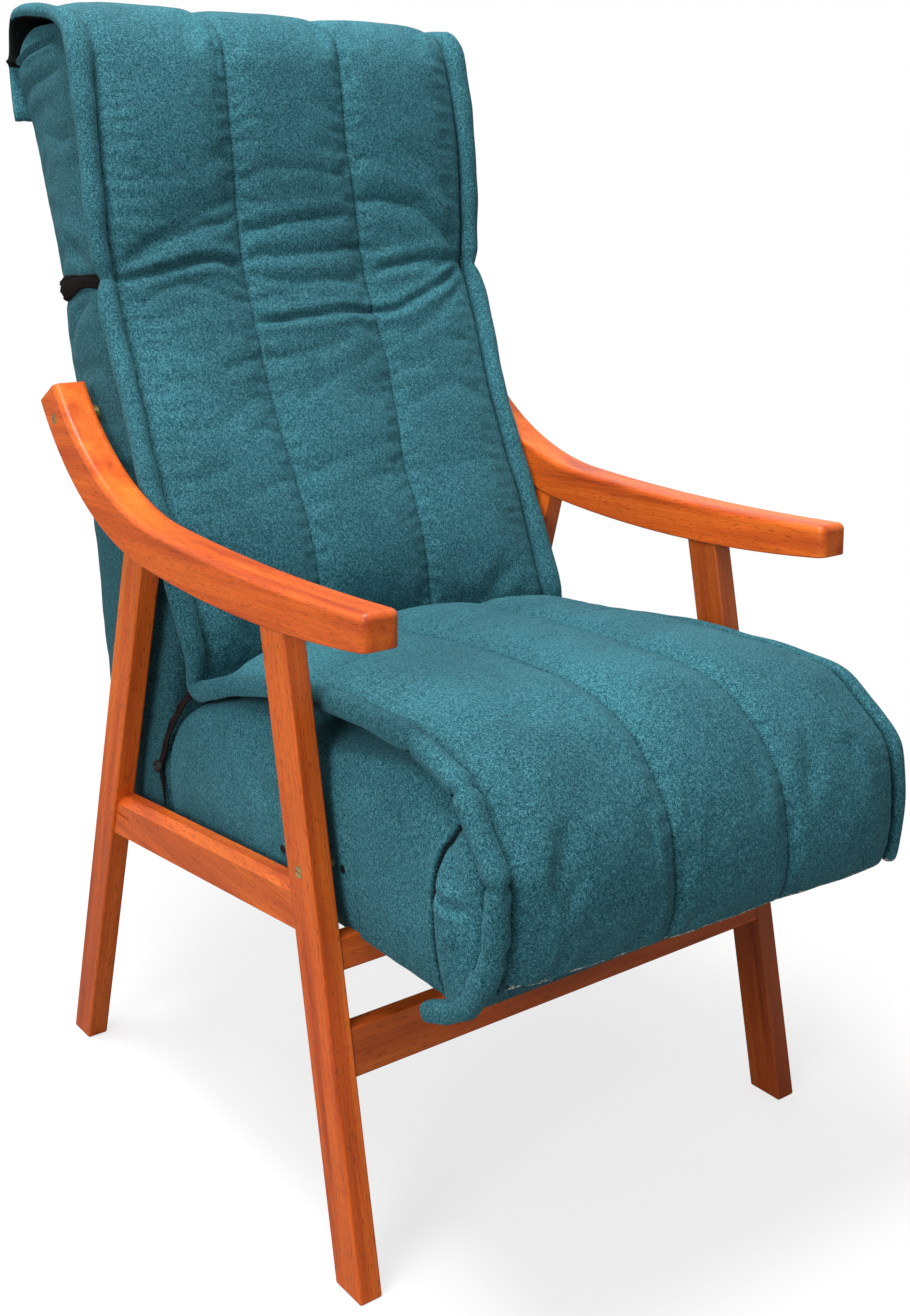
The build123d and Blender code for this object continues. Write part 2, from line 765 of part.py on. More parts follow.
def turned(point, about, degrees):
    # A positive angle raises the front and lowers the rear, about an axis along -X.
    angle = math.radians(degrees)
    y, z = point[0] - about[0], point[1] - about[1]
    return (about[0] + y * math.cos(angle) + z * math.sin(angle),
            about[1] - y * math.sin(angle) + z * math.cos(angle))


def guide_in_seat(recline):
    # Where the guide bolt lies on the seat once the back has reclined.
    hinge = (hinge_y, hinge_z)
    moved = turned(hinge, (pivot_y, pivot_z), recline)
    seat_angle = recline * (1 + seat_ratio)
    y, z = turned((guide_y, guide_z), moved, -seat_angle)
    return y - moved[0] + hinge_y, z - moved[1] + hinge_z


def slot_shape(half_width, x_low, x_high):
    # An obround along the arc that the guide bolt follows.
    start, middle, end = [guide_in_seat(recline_angle * share) for share in (0, 1 / 2, 1)]
    centre_line = side_wire(x_low, [[start, middle, end]])
    line = centre_line.edges()[0]
    parts = []
    for at in (0, 1):
        parts.append(rod(line @ at, Vector(1, 0, 0), half_width, x_high - x_low))
    edges = []
    for at in (0, 1 / 2, 1):
        tangent = line % at
        normal = Vector(0, -tangent.Z, tangent.Y) * half_width
        edges.append((line @ at + normal, line @ at - normal))
    upper = Edge.make_three_point_arc(*[pair[0] for pair in edges])
    lower = Edge.make_three_point_arc(*[pair[1] for pair in edges])
    ends = [Edge.make_line(edges[i][0], edges[i][1]) for i in (0, 2)]
    strip = Solid.extrude(Face(Wire([upper, ends[1], lower, ends[0]])), Vector(x_high - x_low, 0, 0))
    return strip + parts[0] + parts[1]


def guide_screw_set(grow=0):
    screws = []
    for sign in sides.values():
        for at, way in ((0, 1), (recline_angle, -1)):
            y, z = guide_in_seat(at)
            outer = seat_half_width + fit_gap + plate_thickness
            start = Vector(sign * outer, y - way * plate_screw_spread, z)
            inward = Vector(-sign, 0, 0)
            screw = rod(start, inward, screw_radius + grow, screw_length + grow)
            if not grow:
                screw = only_solid(screw + rod(start, -inward, screw_head_radius, screw_head_height))
            screws.append(screw)
    return screws


def guide_plate(sign):
    x_low, x_high = span(sign, seat_half_width + fit_gap, seat_half_width + fit_gap + plate_thickness)
    half = bolt_radius + slot_clearance
    plate = slot_shape(half + plate_border, x_low, x_high)
    for at, way in ((0, 1), (recline_angle, -1)):
        y, z = guide_in_seat(at)
        ear = rod(Vector(x_low, y - way * plate_screw_spread, z), Vector(1, 0, 0), plate_border, x_high - x_low)
        plate = plate + ear
    plate = plate - slot_shape(half, x_low - overrun, x_high + overrun)
    for hole in guide_screw_set(screw_clearance):
        plate = plate - hole
    return only_solid(plate)


def hinge_screw_places():
    return [sign * hinge_offset_x + way * hinge_screw_spread for sign in sides.values() for way in (-1, 1)]


def hinge_screw(x, way, grow=0):
    # Way 1 goes up into the back's bottom board, way -1 into the seat's rear rail.
    y = hinge_y + way * (hinge_leaf_reach - hinge_screw_inset)
    bottom = hinge_z + hinge_barrel_radius - hinge_leaf_thickness
    start = Vector(x, y, bottom)
    screw = rod(start, Vector(0, 0, 1), screw_radius + grow, hinge_screw_length + grow)
    if not grow:
        screw = only_solid(screw + rod(start, Vector(0, 0, -1), screw_head_radius, screw_head_height / 2))
    return screw


def hinge_leaf(centre_x, way):
    top = hinge_z + hinge_barrel_radius
    low = centre_x - hinge_length / 2
    high = centre_x + hinge_length / 2
    y_end = hinge_y + way * hinge_leaf_reach
    y_low, y_high = sorted((hinge_y, y_end))
    leaf = block((low, y_low, top - hinge_leaf_thickness), (high, y_high, top))
    leaf = leaf + rod(Vector(low, hinge_y, hinge_z), Vector(1, 0, 0), hinge_barrel_radius, hinge_length)
    third = hinge_length / 3
    knuckle_gap = hinge_barrel_radius + hinge_knuckle_gap
    middle_cut = block((low + third - hinge_knuckle_gap, hinge_y - knuckle_gap, hinge_z - knuckle_gap),
                       (high - third + hinge_knuckle_gap, hinge_y + knuckle_gap, top + overrun))
    if way > 0:
        leaf = leaf - middle_cut
    else:
        for start in (low - overrun, high - third):
            leaf = leaf - block((start, hinge_y - knuckle_gap, hinge_z - knuckle_gap),
                                (start + third + overrun, hinge_y + knuckle_gap, top + overrun))
    leaf = leaf - rod(Vector(low - overrun, hinge_y, hinge_z), Vector(1, 0, 0),
                      hinge_pin_radius + running_clearance, hinge_length + 2 * overrun)
    for x_hole in hinge_screw_places():
        leaf = leaf - hinge_screw(x_hole, way, screw_clearance)
    return only_solid(leaf)


def build_hinges():
    centres = [sign * hinge_offset_x for sign in sides.values()]
    write("hinge_back_leaves", *[hinge_leaf(x, 1) for x in centres])
    write("hinge_seat_leaves", *[hinge_leaf(x, -1) for x in centres])
    write("hinge_pins", *[rod(Vector(x - hinge_length / 2, hinge_y, hinge_z), Vector(1, 0, 0),
                              hinge_pin_radius, hinge_length) for x in centres])
    write("hinge_back_screws", *[hinge_screw(x, 1) for x in hinge_screw_places()])
    write("hinge_seat_screws", *[hinge_screw(x, -1) for x in hinge_screw_places()])


# Quilted overlay


def offset_path(path, distances):
    # Moves each point of a side path outwards, square to the path.
    moved = []
    for i, ((y, z), distance) in enumerate(zip(path, distances)):
        before = path[max(i - 1, 0)]
        after = path[min(i + 1, len(path) - 1)]
        run_y, run_z = after[0] - before[0], after[1] - before[1]
        length = math.hypot(run_y, run_z)
        moved.append((y + run_z / length * distance, z - run_y / length * distance))
    return moved


def strip_runs(path, inner_offsets, outer_offsets):
    inner = offset_path(path, inner_offsets)
    outer = offset_path(path, outer_offsets)
    runs = [inner[i:i + 3] for i in range(0, len(inner) - 2, 2)]
    runs.append([inner[-1], outer[-1]])
    runs += [outer[i:i + 3] for i in range(0, len(outer) - 2, 2)]
    runs.append([outer[0], inner[0]])
    return runs


def border_roll(path, half_width, sign):
    wires = []
    for x_share, lift_share, thickness_share in roll_shares:
        lift = lift_share * roll_thickness
        top = lift + thickness_share * roll_thickness
        runs = strip_runs(path, [lift] * len(path), [top] * len(path))
        wires.append(side_wire(sign * (half_width - x_share * roll_width), runs))
    return Solid.make_loft(wires, ruled=True)


def channel(path, x_start, x_end, start_thickness, end_thickness, puffs):
    # A padded channel between two seams, fullest half way.
    level = [0] * len(path)
    crown = [channel_seam_thickness + puff for puff in puffs]
    stations = [(x_start, [start_thickness] * len(path)), ((x_start + x_end) / 2, crown),
                (x_end, [end_thickness] * len(path))]
    return Solid.make_loft([side_wire(x, strip_runs(path, level, top)) for x, top in stations])


def quilt(path, half_width, puff, fullness):
    puffs = [puff * share for share in fullness]
    inside = half_width - roll_width
    seam = inside * channel_seam_share
    edge_thickness = roll_thickness * roll_shares[-1][2]
    pieces = [channel(path, -seam, seam, channel_seam_thickness, channel_seam_thickness, puffs)]
    for sign in sides.values():
        pieces.append(channel(path, sign * seam, sign * inside, channel_seam_thickness, edge_thickness, puffs))
        pieces.append(border_roll(path, half_width, sign))
    return only_solid(pieces[0].fuse(*pieces[1:]))


def back_quilt_path():
    # From the flap's hem behind, over the head, and down the front to the crease.
    high_z = back_points([back_head_shares[-1]])[0][1]
    hem_z = high_z - flap_length
    flap = rear_run(hem_z, high_z, flap_gap)
    head = back_points(back_head_shares, 0, quilt_gap)
    middle = ((head[1][0] + head[2][0]) / 2, head[1][1] + quilt_gap / 2)
    over = [(head[3][0] + quilt_gap, head[3][1]), head[2], middle, head[1], (head[0][0] - quilt_gap, head[0][1])]
    front = list(reversed(back_points(back_front_shares[2:], -quilt_gap)))
    seat_top_z = seat_bottom_z + seat_height
    crease_height = back_bottom_z + crease_start_share * back_height - seat_top_z
    return flap + over + front + along([], crease_shares, back_front_y, seat_top_z, back_reach, crease_height)


def seat_quilt_path():
    # It starts one gap past the end of the back half, and first runs on the same way.
    before, end = back_quilt_path()[-2:]
    run = math.hypot(end[0] - before[0], end[1] - before[1])
    way = ((end[0] - before[0]) / run, (end[1] - before[1]) / run)
    start = (end[0] + way[0] * crease_gap, end[1] + way[1] * crease_gap)
    turn = (start[0] + way[0] * crease_turn, start[1] + way[1] * crease_turn)
    return [start, turn] + seat_points(seat_quilt_shares)


def build_quilt():
    write("quilt_back", quilt(back_quilt_path(), back_quilt_half_width, back_channel_puff, back_fullness))
    write("quilt_seat", quilt(seat_quilt_path(), seat_quilt_half_width, seat_channel_puff, seat_fullness))


# Straps and buttons


def lumbar_strap():
    # A flat loop round the sides and the rear of the block, open at the quilt.
    z = back_bottom_z + lumbar_strap_share * back_height
    front_y = back_front_y + strap_front_reach(z)

    def loop(out):
        side = [(back_half_width + out, front_y)]
        side += [(x + out, rear_y(z, out - inset)) for x, inset in reversed(edge_stations(back_half_width)[3:])]
        side[-1] = (back_inner_x(), side[-1][1])
        crown = Vector(0, rear_y(z, panel_bulge + strap_swell + out), z)
        right = [Vector(x, y, z) for x, y in side]
        left = [Vector(-x, y, z) for x, y in reversed(side)]
        return right, crown, left

    edges = []
    ends = []
    for out in (strap_gap, strap_gap + strap_thickness):
        right, crown, left = loop(out)
        edges += [Edge.make_line(a, b) for points in (right, left) for a, b in zip(points, points[1:])]
        edges.append(Edge.make_three_point_arc(right[-1], crown, left[0]))
        ends.append((right[0], left[-1]))
    edges += [Edge.make_line(a, b) for a, b in zip(*ends)]
    direction = Vector(0, rear_slope(z), 1).normalized() * lumbar_strap_width
    return Solid.extrude(Face(Wire(edges)), direction)


def strap_front_reach(z):
    # The strap starts at the border roll, on the front face of the block.
    shares = back_front_shares
    z_share = (z - back_bottom_z) / back_height
    for (y1, z1), (y2, z2) in zip(shares, shares[1:]):
        if z1 <= z_share <= z2:
            return (y1 + (y2 - y1) * (z_share - z1) / (z2 - z1)) * back_reach + block_edge_inset
    return block_edge_inset


def crease_strap(sign):
    start, middle, end = seat_points(crease_strap_shares, -block_edge_inset)
    x_low, x_high = span(sign, crease_strap_offset_x, crease_strap_offset_x + crease_strap_thickness)
    inner = [start, middle, end]
    outer = offset_path(inner, [-crease_strap_width] * len(inner))
    runs = [inner, [inner[2], outer[2]], outer, [outer[0], inner[0]]]
    band = slab(runs, x_low, x_high)
    tail_y = (inner[2][0] + outer[2][0]) / 2
    tail = slab(polygon([(tail_y - tail_width / 2, end[1] + overrun), (tail_y + tail_width / 2, end[1] + overrun),
                         (tail_y + tail_width / 2, end[1] - tail_drop),
                         (tail_y - tail_width / 2, end[1] - tail_drop)]), x_low, x_high)
    return only_solid(band + tail), tail_y, end[1]


def strap_button(sign, y, z):
    start = sign * (crease_strap_offset_x + crease_strap_thickness + fit_gap)
    button = rod(Vector(start, y, z), Vector(sign, 0, 0), button_radius, button_height)
    rim = button.edges().filter_by(GeomType.CIRCLE)
    return only_solid(button.chamfer(button_bevel, None, rim))


def build_straps():
    write("lumbar_strap", lumbar_strap())
    straps = [crease_strap(sign) for sign in sides.values()]
    write("crease_straps", *[strap for strap, y, z in straps])
    write("strap_buttons", *[strap_button(sign, y, z)
                             for sign, (strap, y, z) in zip(sides.values(), straps)])


def build_back():
    write("back_core", back_core())
    write("back_rear_panel", back_panel())
    for side, sign in sides.items():
        write(f"back_post_{side}", post(sign))
    bottom, top = back_boards()
    write("back_bottom_rail", bottom)
    write("back_top_rail", top)
    write("back_webbing", *back_bands())
    write("pivot_bushes", *[bush(sign) for sign in sides.values()])


def build_seat():
    write("seat_core", seat_core())
    for node, rail in seat_rails().items():
        write(node, rail)
    write("seat_webbing", *seat_bands())
    write("seat_dust_cover", dust_cover())
    for side, sign in sides.items():
        write(f"guide_plate_{side}", guide_plate(sign))
    write("guide_screws", *guide_screw_set())


# The back turns on its posts, and the armrests end round that pivot.
pivot_y = rear_y(pivot_z) - panel_thickness - fit_gap - post_depth / 2 - pivot_from_post_middle
arm_rear_bottom_y = pivot_y + pivot_inset
arm_rear_top_y = arm_rear_bottom_y - arm_rear_slant

build_frame()
build_back()
build_seat()
build_hinges()
build_quilt()
build_straps()
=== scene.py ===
import bpy
import bmesh
import json
import math
import numpy as np
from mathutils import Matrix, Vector, noise
from mathutils.bvhtree import BVHTree

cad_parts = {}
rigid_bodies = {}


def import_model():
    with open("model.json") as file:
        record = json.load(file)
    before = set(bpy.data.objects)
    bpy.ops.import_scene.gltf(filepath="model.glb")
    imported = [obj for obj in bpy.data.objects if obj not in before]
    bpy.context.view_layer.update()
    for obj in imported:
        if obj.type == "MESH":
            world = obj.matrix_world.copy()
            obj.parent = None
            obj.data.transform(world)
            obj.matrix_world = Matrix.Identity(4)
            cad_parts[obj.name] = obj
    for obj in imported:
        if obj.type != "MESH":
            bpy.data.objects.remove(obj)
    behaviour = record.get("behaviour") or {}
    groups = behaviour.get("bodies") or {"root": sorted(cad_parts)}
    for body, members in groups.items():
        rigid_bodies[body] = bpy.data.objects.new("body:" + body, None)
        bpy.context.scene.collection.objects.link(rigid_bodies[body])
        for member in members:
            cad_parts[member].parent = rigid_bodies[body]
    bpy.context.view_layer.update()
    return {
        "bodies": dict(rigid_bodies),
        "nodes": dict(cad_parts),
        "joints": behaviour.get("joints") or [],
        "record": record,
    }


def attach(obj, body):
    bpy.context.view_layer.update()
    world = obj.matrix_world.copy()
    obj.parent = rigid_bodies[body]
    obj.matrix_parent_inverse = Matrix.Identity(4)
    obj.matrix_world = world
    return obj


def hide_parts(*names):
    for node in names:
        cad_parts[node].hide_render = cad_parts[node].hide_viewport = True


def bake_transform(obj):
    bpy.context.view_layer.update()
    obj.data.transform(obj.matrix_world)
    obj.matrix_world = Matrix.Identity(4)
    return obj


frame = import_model()
nodes = frame["nodes"]
millimetre = 0.001

# the CAD model stands this much further back than the outlines below, which are (y, z) pairs in millimetres
planShift = 28.6
clothReach = 60.0  # distance from seams and hems, in millimetres, that counts as plain cloth


def linear(red, green, blue):
    parts = []
    for value in (red, green, blue):
        share = value / 255
        parts.append(share / 12.92 if share <= 0.04045 else ((share + 0.055) / 1.055) ** 2.4)
    return (*parts, 1)


# camera and studio
cameraPlan = {"x": -968.7, "y": -1373.9, "z": 959.7, "azimuth": 36.62, "elevation": 9.10, "roll": 0.085,
              "imageWidth": 910, "imageHeight": 1316, "focalPixels": 1618.3,
              "principalX": 442.6, "principalY": 438.6, "sensor": 36}


def placeCamera(plan):
    data = bpy.data.cameras.new("photoCamera")
    camera = bpy.data.objects.new("photoCamera", data)
    bpy.context.scene.collection.objects.link(camera)
    camera.location = Vector((plan["x"], plan["y"] + planShift, plan["z"])) * millimetre
    camera.rotation_euler = (math.radians(90 - plan["elevation"]), math.radians(plan["roll"]),
                             math.radians(-plan["azimuth"]))
    data.sensor_fit = "VERTICAL"
    data.sensor_height = plan["sensor"]
    data.lens = plan["focalPixels"] / plan["imageHeight"] * plan["sensor"]
    data.shift_x = (plan["imageWidth"] / 2 - plan["principalX"]) / plan["imageHeight"]
    data.shift_y = (plan["principalY"] - plan["imageHeight"] / 2) / plan["imageHeight"]
    data.clip_start = 0.05
    data.clip_end = 60
    bpy.context.scene.camera = camera


studio = {"worldStrength": 0.37, "floorSize": 24.0, "floorTone": (0.95, 0.95, 0.95, 1),
          "bounceTone": (0.26, 0.26, 0.26, 1), "fadeStart": 0.6, "fadeEnd": 1.6, "fadeLeast": 0.72,
          "lamps": [("topLamp", (-0.7, -0.1, 3.3), 1.3, 108), ("keyLamp", (-2.8, -1.3, 1.6), 1.5, 54),
                    ("backLamp", (0.9, 2.4, 2.8), 2.2, 16)],
          "aim": (0.0, 0.0, 0.55)}


def addLamp(name, place, size, power):
    data = bpy.data.lights.new(name, "AREA")
    data.shape = "DISK"
    data.size = size
    data.energy = power
    lamp = bpy.data.objects.new(name, data)
    bpy.context.scene.collection.objects.link(lamp)
    lamp.location = place
    lamp.rotation_euler = (Vector(studio["aim"]) - Vector(place)).to_track_quat("-Z", "Y").to_euler()


def setInputs(tree, node, values):
    # a value that is a socket of another node is linked, and any other is set
    for key, value in values.items():
        if isinstance(value, bpy.types.NodeSocket):
            tree.links.new(value, node.inputs[key])
        else:
            node.inputs[key].default_value = value


def addNode(tree, kind, values=None, **settings):
    node = tree.nodes.new(kind)
    for key, value in settings.items():
        setattr(node, key, value)
    setInputs(tree, node, values or {})
    return node


def addMath(tree, operation, *values):
    return addNode(tree, "ShaderNodeMath", dict(enumerate(values)), operation=operation).outputs[0]


def addNoise(tree, place, scale, detail, roughness=0.5, distortion=0.0):
    values = {"Vector": place, "Scale": scale, "Detail": detail, "Roughness": roughness,
              "Distortion": distortion}
    return addNode(tree, "ShaderNodeTexNoise", values).outputs["Fac"]


def addRange(tree, value, low, high, start=0.0, end=1.0, **settings):
    values = {"Value": value, "From Min": low, "From Max": high, "To Min": start, "To Max": end}
    return addNode(tree, "ShaderNodeMapRange", values, **settings).outputs["Result"]


def addRamp(tree, value, stops):
    ramp = addNode(tree, "ShaderNodeValToRGB", {0: value})
    line = ramp.color_ramp
    while len(line.elements) < len(stops):
        line.elements.new(0.5)
    for element, (place, colour) in zip(line.elements, stops):
        element.position = place
        element.color = colour
    return ramp.outputs[0]


def addMix(tree, blend, factor, first, second):
    values = {"Factor": factor, 6: first, 7: second}
    return addNode(tree, "ShaderNodeMix", values, data_type="RGBA", blend_type=blend).outputs[2]


def addBump(tree, height, strength, distance):
    values = {"Height": height, "Strength": strength, "Distance": distance}
    return addNode(tree, "ShaderNodeBump", values).outputs[0]


def blendShaders(tree, factor, first, second, output):
    blend = addNode(tree, "ShaderNodeMixShader", {0: factor, 1: first.outputs[0], 2: second.outputs[0]})
    tree.links.new(blend.outputs[0], output.inputs["Surface"])


def newMaterial(name):
    material = bpy.data.materials.new(name)
    material.use_nodes = True
    tree = material.node_tree
    place = addNode(tree, "ShaderNodeTexCoord").outputs["Object"]
    return material, tree, tree.nodes["Principled BSDF"], place


def grey(value):
    return (value, value, value, 1)


def buildStudio():
    world = bpy.data.worlds.new("studioWorld")
    bpy.context.scene.world = world
    world.use_nodes = True
    tree = world.node_tree
    tree.nodes.clear()
    light = addNode(tree, "ShaderNodeBackground", {"Color": grey(1), "Strength": studio["worldStrength"]})
    seen = addNode(tree, "ShaderNodeBackground", {"Color": grey(1), "Strength": 1.0})
    rays = addNode(tree, "ShaderNodeLightPath").outputs
    mirrored = addMath(tree, "MAXIMUM", rays["Is Glossy Ray"], rays["Is Transmission Ray"])
    shown = addMath(tree, "MAXIMUM", rays["Is Camera Ray"], mirrored)
    blendShaders(tree, shown, light, seen, addNode(tree, "ShaderNodeOutputWorld"))

    bm = bmesh.new()
    bmesh.ops.create_grid(bm, x_segments=2, y_segments=2, size=studio["floorSize"] / 2)
    floor = meshObject("studioFloor", bm)
    material, tree, shader, place = newMaterial("studioFloor")
    camera = addNode(tree, "ShaderNodeLightPath").outputs["Is Camera Ray"]
    tone = addMix(tree, "MIX", camera, studio["bounceTone"], studio["floorTone"])
    setInputs(tree, shader, {"Roughness": 1.0, "Base Color": tone})
    white = addNode(tree, "ShaderNodeEmission", {"Color": grey(1), "Strength": 1.0})
    reach = addNode(tree, "ShaderNodeVectorMath", {0: place}, operation="LENGTH").outputs["Value"]
    fade = addRange(tree, reach, studio["fadeStart"], studio["fadeEnd"], studio["fadeLeast"],
                    interpolation_type="SMOOTHSTEP")
    blendShaders(tree, addMath(tree, "MULTIPLY", fade, camera), shader, white, tree.nodes["Material Output"])
    floor.data.materials.append(material)
    for lamp in studio["lamps"]:
        addLamp(*lamp)
    bpy.context.scene.view_settings.view_transform = "Standard"


def meshObject(name, bm):
    mesh = bpy.data.meshes.new(name)
    bm.to_mesh(mesh)
    bm.free()
    mesh.polygons.foreach_set("use_smooth", [True] * len(mesh.polygons))
    thing = bpy.data.objects.new(name, mesh)
    bpy.context.scene.collection.objects.link(thing)
    return thing


placeCamera(cameraPlan)
buildStudio()
print("stage: camera and studio")

# finishes
woodPlan = {
    "light": linear(232, 116, 36), "middle": linear(212, 94, 26), "dark": linear(174, 66, 16),
    "pore": linear(104, 34, 10), "rawLight": linear(214, 178, 132), "rawMiddle": linear(196, 156, 108),
    "rawDark": linear(170, 128, 84),
    "figure": (46, 46, 2.6), "fibre": (620, 620, 12), "fleck": (820, 820, 105), "tone": 5.0,
    "fleckEdge": (0.60, 0.70), "roughness": 0.44, "specular": 0.3, "coat": 0.08, "coatRoughness": 0.22}


def woodMaterial(name, turn, offset, raw=False, paintedShade=1.0):
    plan = woodPlan
    material, tree, shader, place = newMaterial(name)
    turned = addNode(tree, "ShaderNodeMapping", vector_type="TEXTURE",
                     values={"Vector": place, "Location": offset, "Rotation": np.radians(turn)}).outputs[0]
    pattern = {}
    for part, detail in (("figure", 3), ("fibre", 4), ("fleck", 1)):
        stretched = addNode(tree, "ShaderNodeMapping", {"Vector": turned, "Scale": plan[part]}).outputs[0]
        pattern[part] = addNoise(tree, stretched, 1.0, detail, 0.55, 0.25)
    tones = ("rawDark", "rawMiddle", "rawLight") if raw else ("dark", "middle", "light")
    stain = [plan[key] for key in tones]
    figure = addRamp(tree, pattern["figure"], list(zip((0.30, 0.50, 0.72), stain)))
    fibre = addRamp(tree, pattern["fibre"], [(0.32, grey(0.80)), (0.62, grey(1.08))])
    # random tone, scaled by paintedShade, which darkens the boards that sit in shade
    tone = addRamp(tree, addNoise(tree, turned, plan["tone"], 2.0),
                   [(0.30, (0.86 * paintedShade, 0.84 * paintedShade, 0.82 * paintedShade, 1)),
                    (0.70, (1.10 * paintedShade, 1.10 * paintedShade, 1.08 * paintedShade, 1))])
    fleck = addRamp(tree, pattern["fleck"], list(zip(plan["fleckEdge"], (grey(0), grey(0.6)))))
    toned = addMix(tree, "MULTIPLY", 1.0, addMix(tree, "MULTIPLY", 0.8, figure, fibre), tone)
    setInputs(tree, shader, {
        "Base Color": addMix(tree, "MIX", fleck, toned, plan["rawDark"] if raw else plan["pore"]),
        "Normal": addBump(tree, pattern["fibre"], 0.10, 0.0006),
        "Roughness": 0.62 if raw else plan["roughness"], "Specular IOR Level": plan["specular"],
        "Coat Weight": 0.0 if raw else plan["coat"], "Coat Roughness": plan["coatRoughness"]})
    return material


clothPlan = {
    "deep": linear(10, 48, 56), "middle": linear(36, 90, 101), "lit": linear(84, 142, 153),
    "pileScale": 1050.0, "clumpScale": 380.0, "napScale": 8.0, "pileShare": 0.66, "sheen": 0.18,
    "sheenTint": linear(110, 175, 190), "thread": linear(14, 48, 58), "paintedSeamShade": linear(5, 18, 22),
    "stitch": 1400.0, "hemThread": linear(214, 214, 200), "hemEdge": (0.0022, 0.0034),
    # least strength of a stitch, reach of the seam's darkening in metres, and its strength; seamDarkening is
    # thread colour, grooved is painted shade in the seat block's seam grooves
    "seamDarkening": (0.35, 0.0006, 0.0026, 0.62), "grooved": (0.7, 0.0012, 0.0032, 1.3)}


def clothMaterial(name, hem=False, paintedLightGain=1.0, gap=False):
    plan = clothPlan
    material, tree, shader, place = newMaterial(name)
    pile = addNoise(tree, place, plan["pileScale"], 2.0, 0.6)
    clump = addNoise(tree, place, plan["clumpScale"], 3.0, 0.6)
    nap = addNoise(tree, place, plan["napScale"], 3.0, 0.55)
    grain = addMath(tree, "MULTIPLY_ADD", clump, 1 - plan["pileShare"],
                    addMath(tree, "MULTIPLY", pile, plan["pileShare"]))
    colour = addRamp(tree, grain, [(0.37, plan["deep"]), (0.50, plan["middle"]), (0.63, plan["lit"])])
    # the nap's random mottling, scaled by paintedLightGain: painted shade below 1, painted light above 1
    colour = addMix(tree, "MULTIPLY", 1.0, colour,
                    addRamp(tree, nap, [(0.30, grey(0.80 * paintedLightGain)), (0.70, grey(1.16 * paintedLightGain))]))
    # clothFlow holds the distance along the seams, to the lower hem and to the nearest seam, in metres
    flow = addNode(tree, "ShaderNodeAttribute", attribute_name="clothFlow").outputs["Vector"]
    parts = addNode(tree, "ShaderNodeSeparateXYZ", {0: flow}).outputs
    # with gap the seams' darkening is painted shade in the grooves; without it, it is thread colour
    least, low, high, strength = plan["grooved"] if gap else plan["seamDarkening"]
    stitches = addRange(tree, addMath(tree, "SINE", addMath(tree, "MULTIPLY", parts["X"], plan["stitch"])),
                        -0.4, 0.5, least)
    seamDarkening = addMath(tree, "MULTIPLY", addRange(tree, parts["Z"], low, high, strength, 0.0), stitches)
    colour = addMix(tree, "MIX", seamDarkening, colour, plan["paintedSeamShade"] if gap else plan["thread"])
    if hem:
        raw = addMath(tree, "MULTIPLY", addRange(tree, parts["Y"], *plan["hemEdge"], 1.0, 0.0),
                      addRange(tree, clump, 0.46, 0.54))
        colour = addMix(tree, "MIX", raw, colour, plan["hemThread"])
    setInputs(tree, shader, {
        "Base Color": colour, "Normal": addBump(tree, grain, 0.55, 0.0016), "Roughness": 0.95,
        "Specular IOR Level": 0.2, "Sheen Weight": plan["sheen"], "Sheen Roughness": 0.5,
        "Sheen Tint": plan["sheenTint"]})
    return material


def metalMaterial(name, tint, roughness):
    material, tree, shader, place = newMaterial(name)
    wear = addNoise(tree, place, 260.0, 3.0)
    setInputs(tree, shader, {
        "Base Color": addRamp(tree, wear, [(0.35, tuple(c * 0.72 for c in tint[:3]) + (1,)), (0.62, tint)]),
        "Roughness": addRange(tree, wear, 0.0, 1.0, roughness * 0.8, roughness * 1.5), "Metallic": 1.0})
    return material


def wovenMaterial(name, dark, light, scale, roughness=0.8, specular=0.12):
    material, tree, shader, place = newMaterial(name)
    ribs = addNode(tree, "ShaderNodeTexWave",
                   {"Vector": place, "Scale": scale, "Distortion": 1.2, "Detail": 2.0})
    weave = addMath(tree, "MULTIPLY", ribs.outputs["Fac"], addNoise(tree, place, scale * 4, 2.0))
    setInputs(tree, shader, {
        "Base Color": addRamp(tree, weave, [(0.08, dark), (0.6, light)]),
        "Normal": addBump(tree, weave, 0.5, 0.0008), "Roughness": roughness, "Specular IOR Level": specular})
    return material


# the grain runs along Z of the pattern, turned about X and then Y for each piece
grainRuns = {
    "front_leg": (-11.0, 0, 0), "rear_leg": (16.1, 0, 0), "armrest": (88.0, 0, 0), "side_rail": (95.0, 0, 0),
    "front_stretcher": (0, 90, 0), "front_cross_rail": (0, 90, 0), "rear_cross_rail": (0, 90, 0)}
rawRuns = {"back_post": (-16.0, 0, 0), "back_bottom_rail": (0, 90, 0), "back_top_rail": (0, 90, 0),
           "seat_side_rail": (90, 0, 0), "seat_front_rail": (0, 90, 0), "seat_rear_rail": (0, 90, 0),
           "leg_dowels": (0, 0, 0)}
# painted shade: the stain of each listed board is darkened by its factor, for the shadow the seat and legs
# cast on it
paintedShadeBoards = {"front_leg_right": 0.5, "front_stretcher": 0.68, "front_cross_rail": 0.8, "rear_leg_left": 0.9}
# tint, roughness and the nodes of each metal
metalPlan = {
    "brass": ((0.78, 0.58, 0.26, 1), 0.30, ("back_pivot_bolts", "seat_guide_bolts", "pivot_bushes")),
    "steel": ((0.62, 0.63, 0.65, 1), 0.34, ("hinge_back_leaves", "hinge_pins", "hinge_back_screws",
                                            "hinge_seat_leaves", "hinge_seat_screws")),
    # painted shade: the guide plates and screws get a near-black tint so they read as the shadow beside the
    # front legs
    "paintedShadeSteel": ((0.05, 0.055, 0.06, 1), 0.45, ("guide_plate_left", "guide_plate_right", "guide_screws"))}


def dressNode(name, material):
    mesh = nodes[name].data
    mesh.materials.clear()
    mesh.materials.append(material)


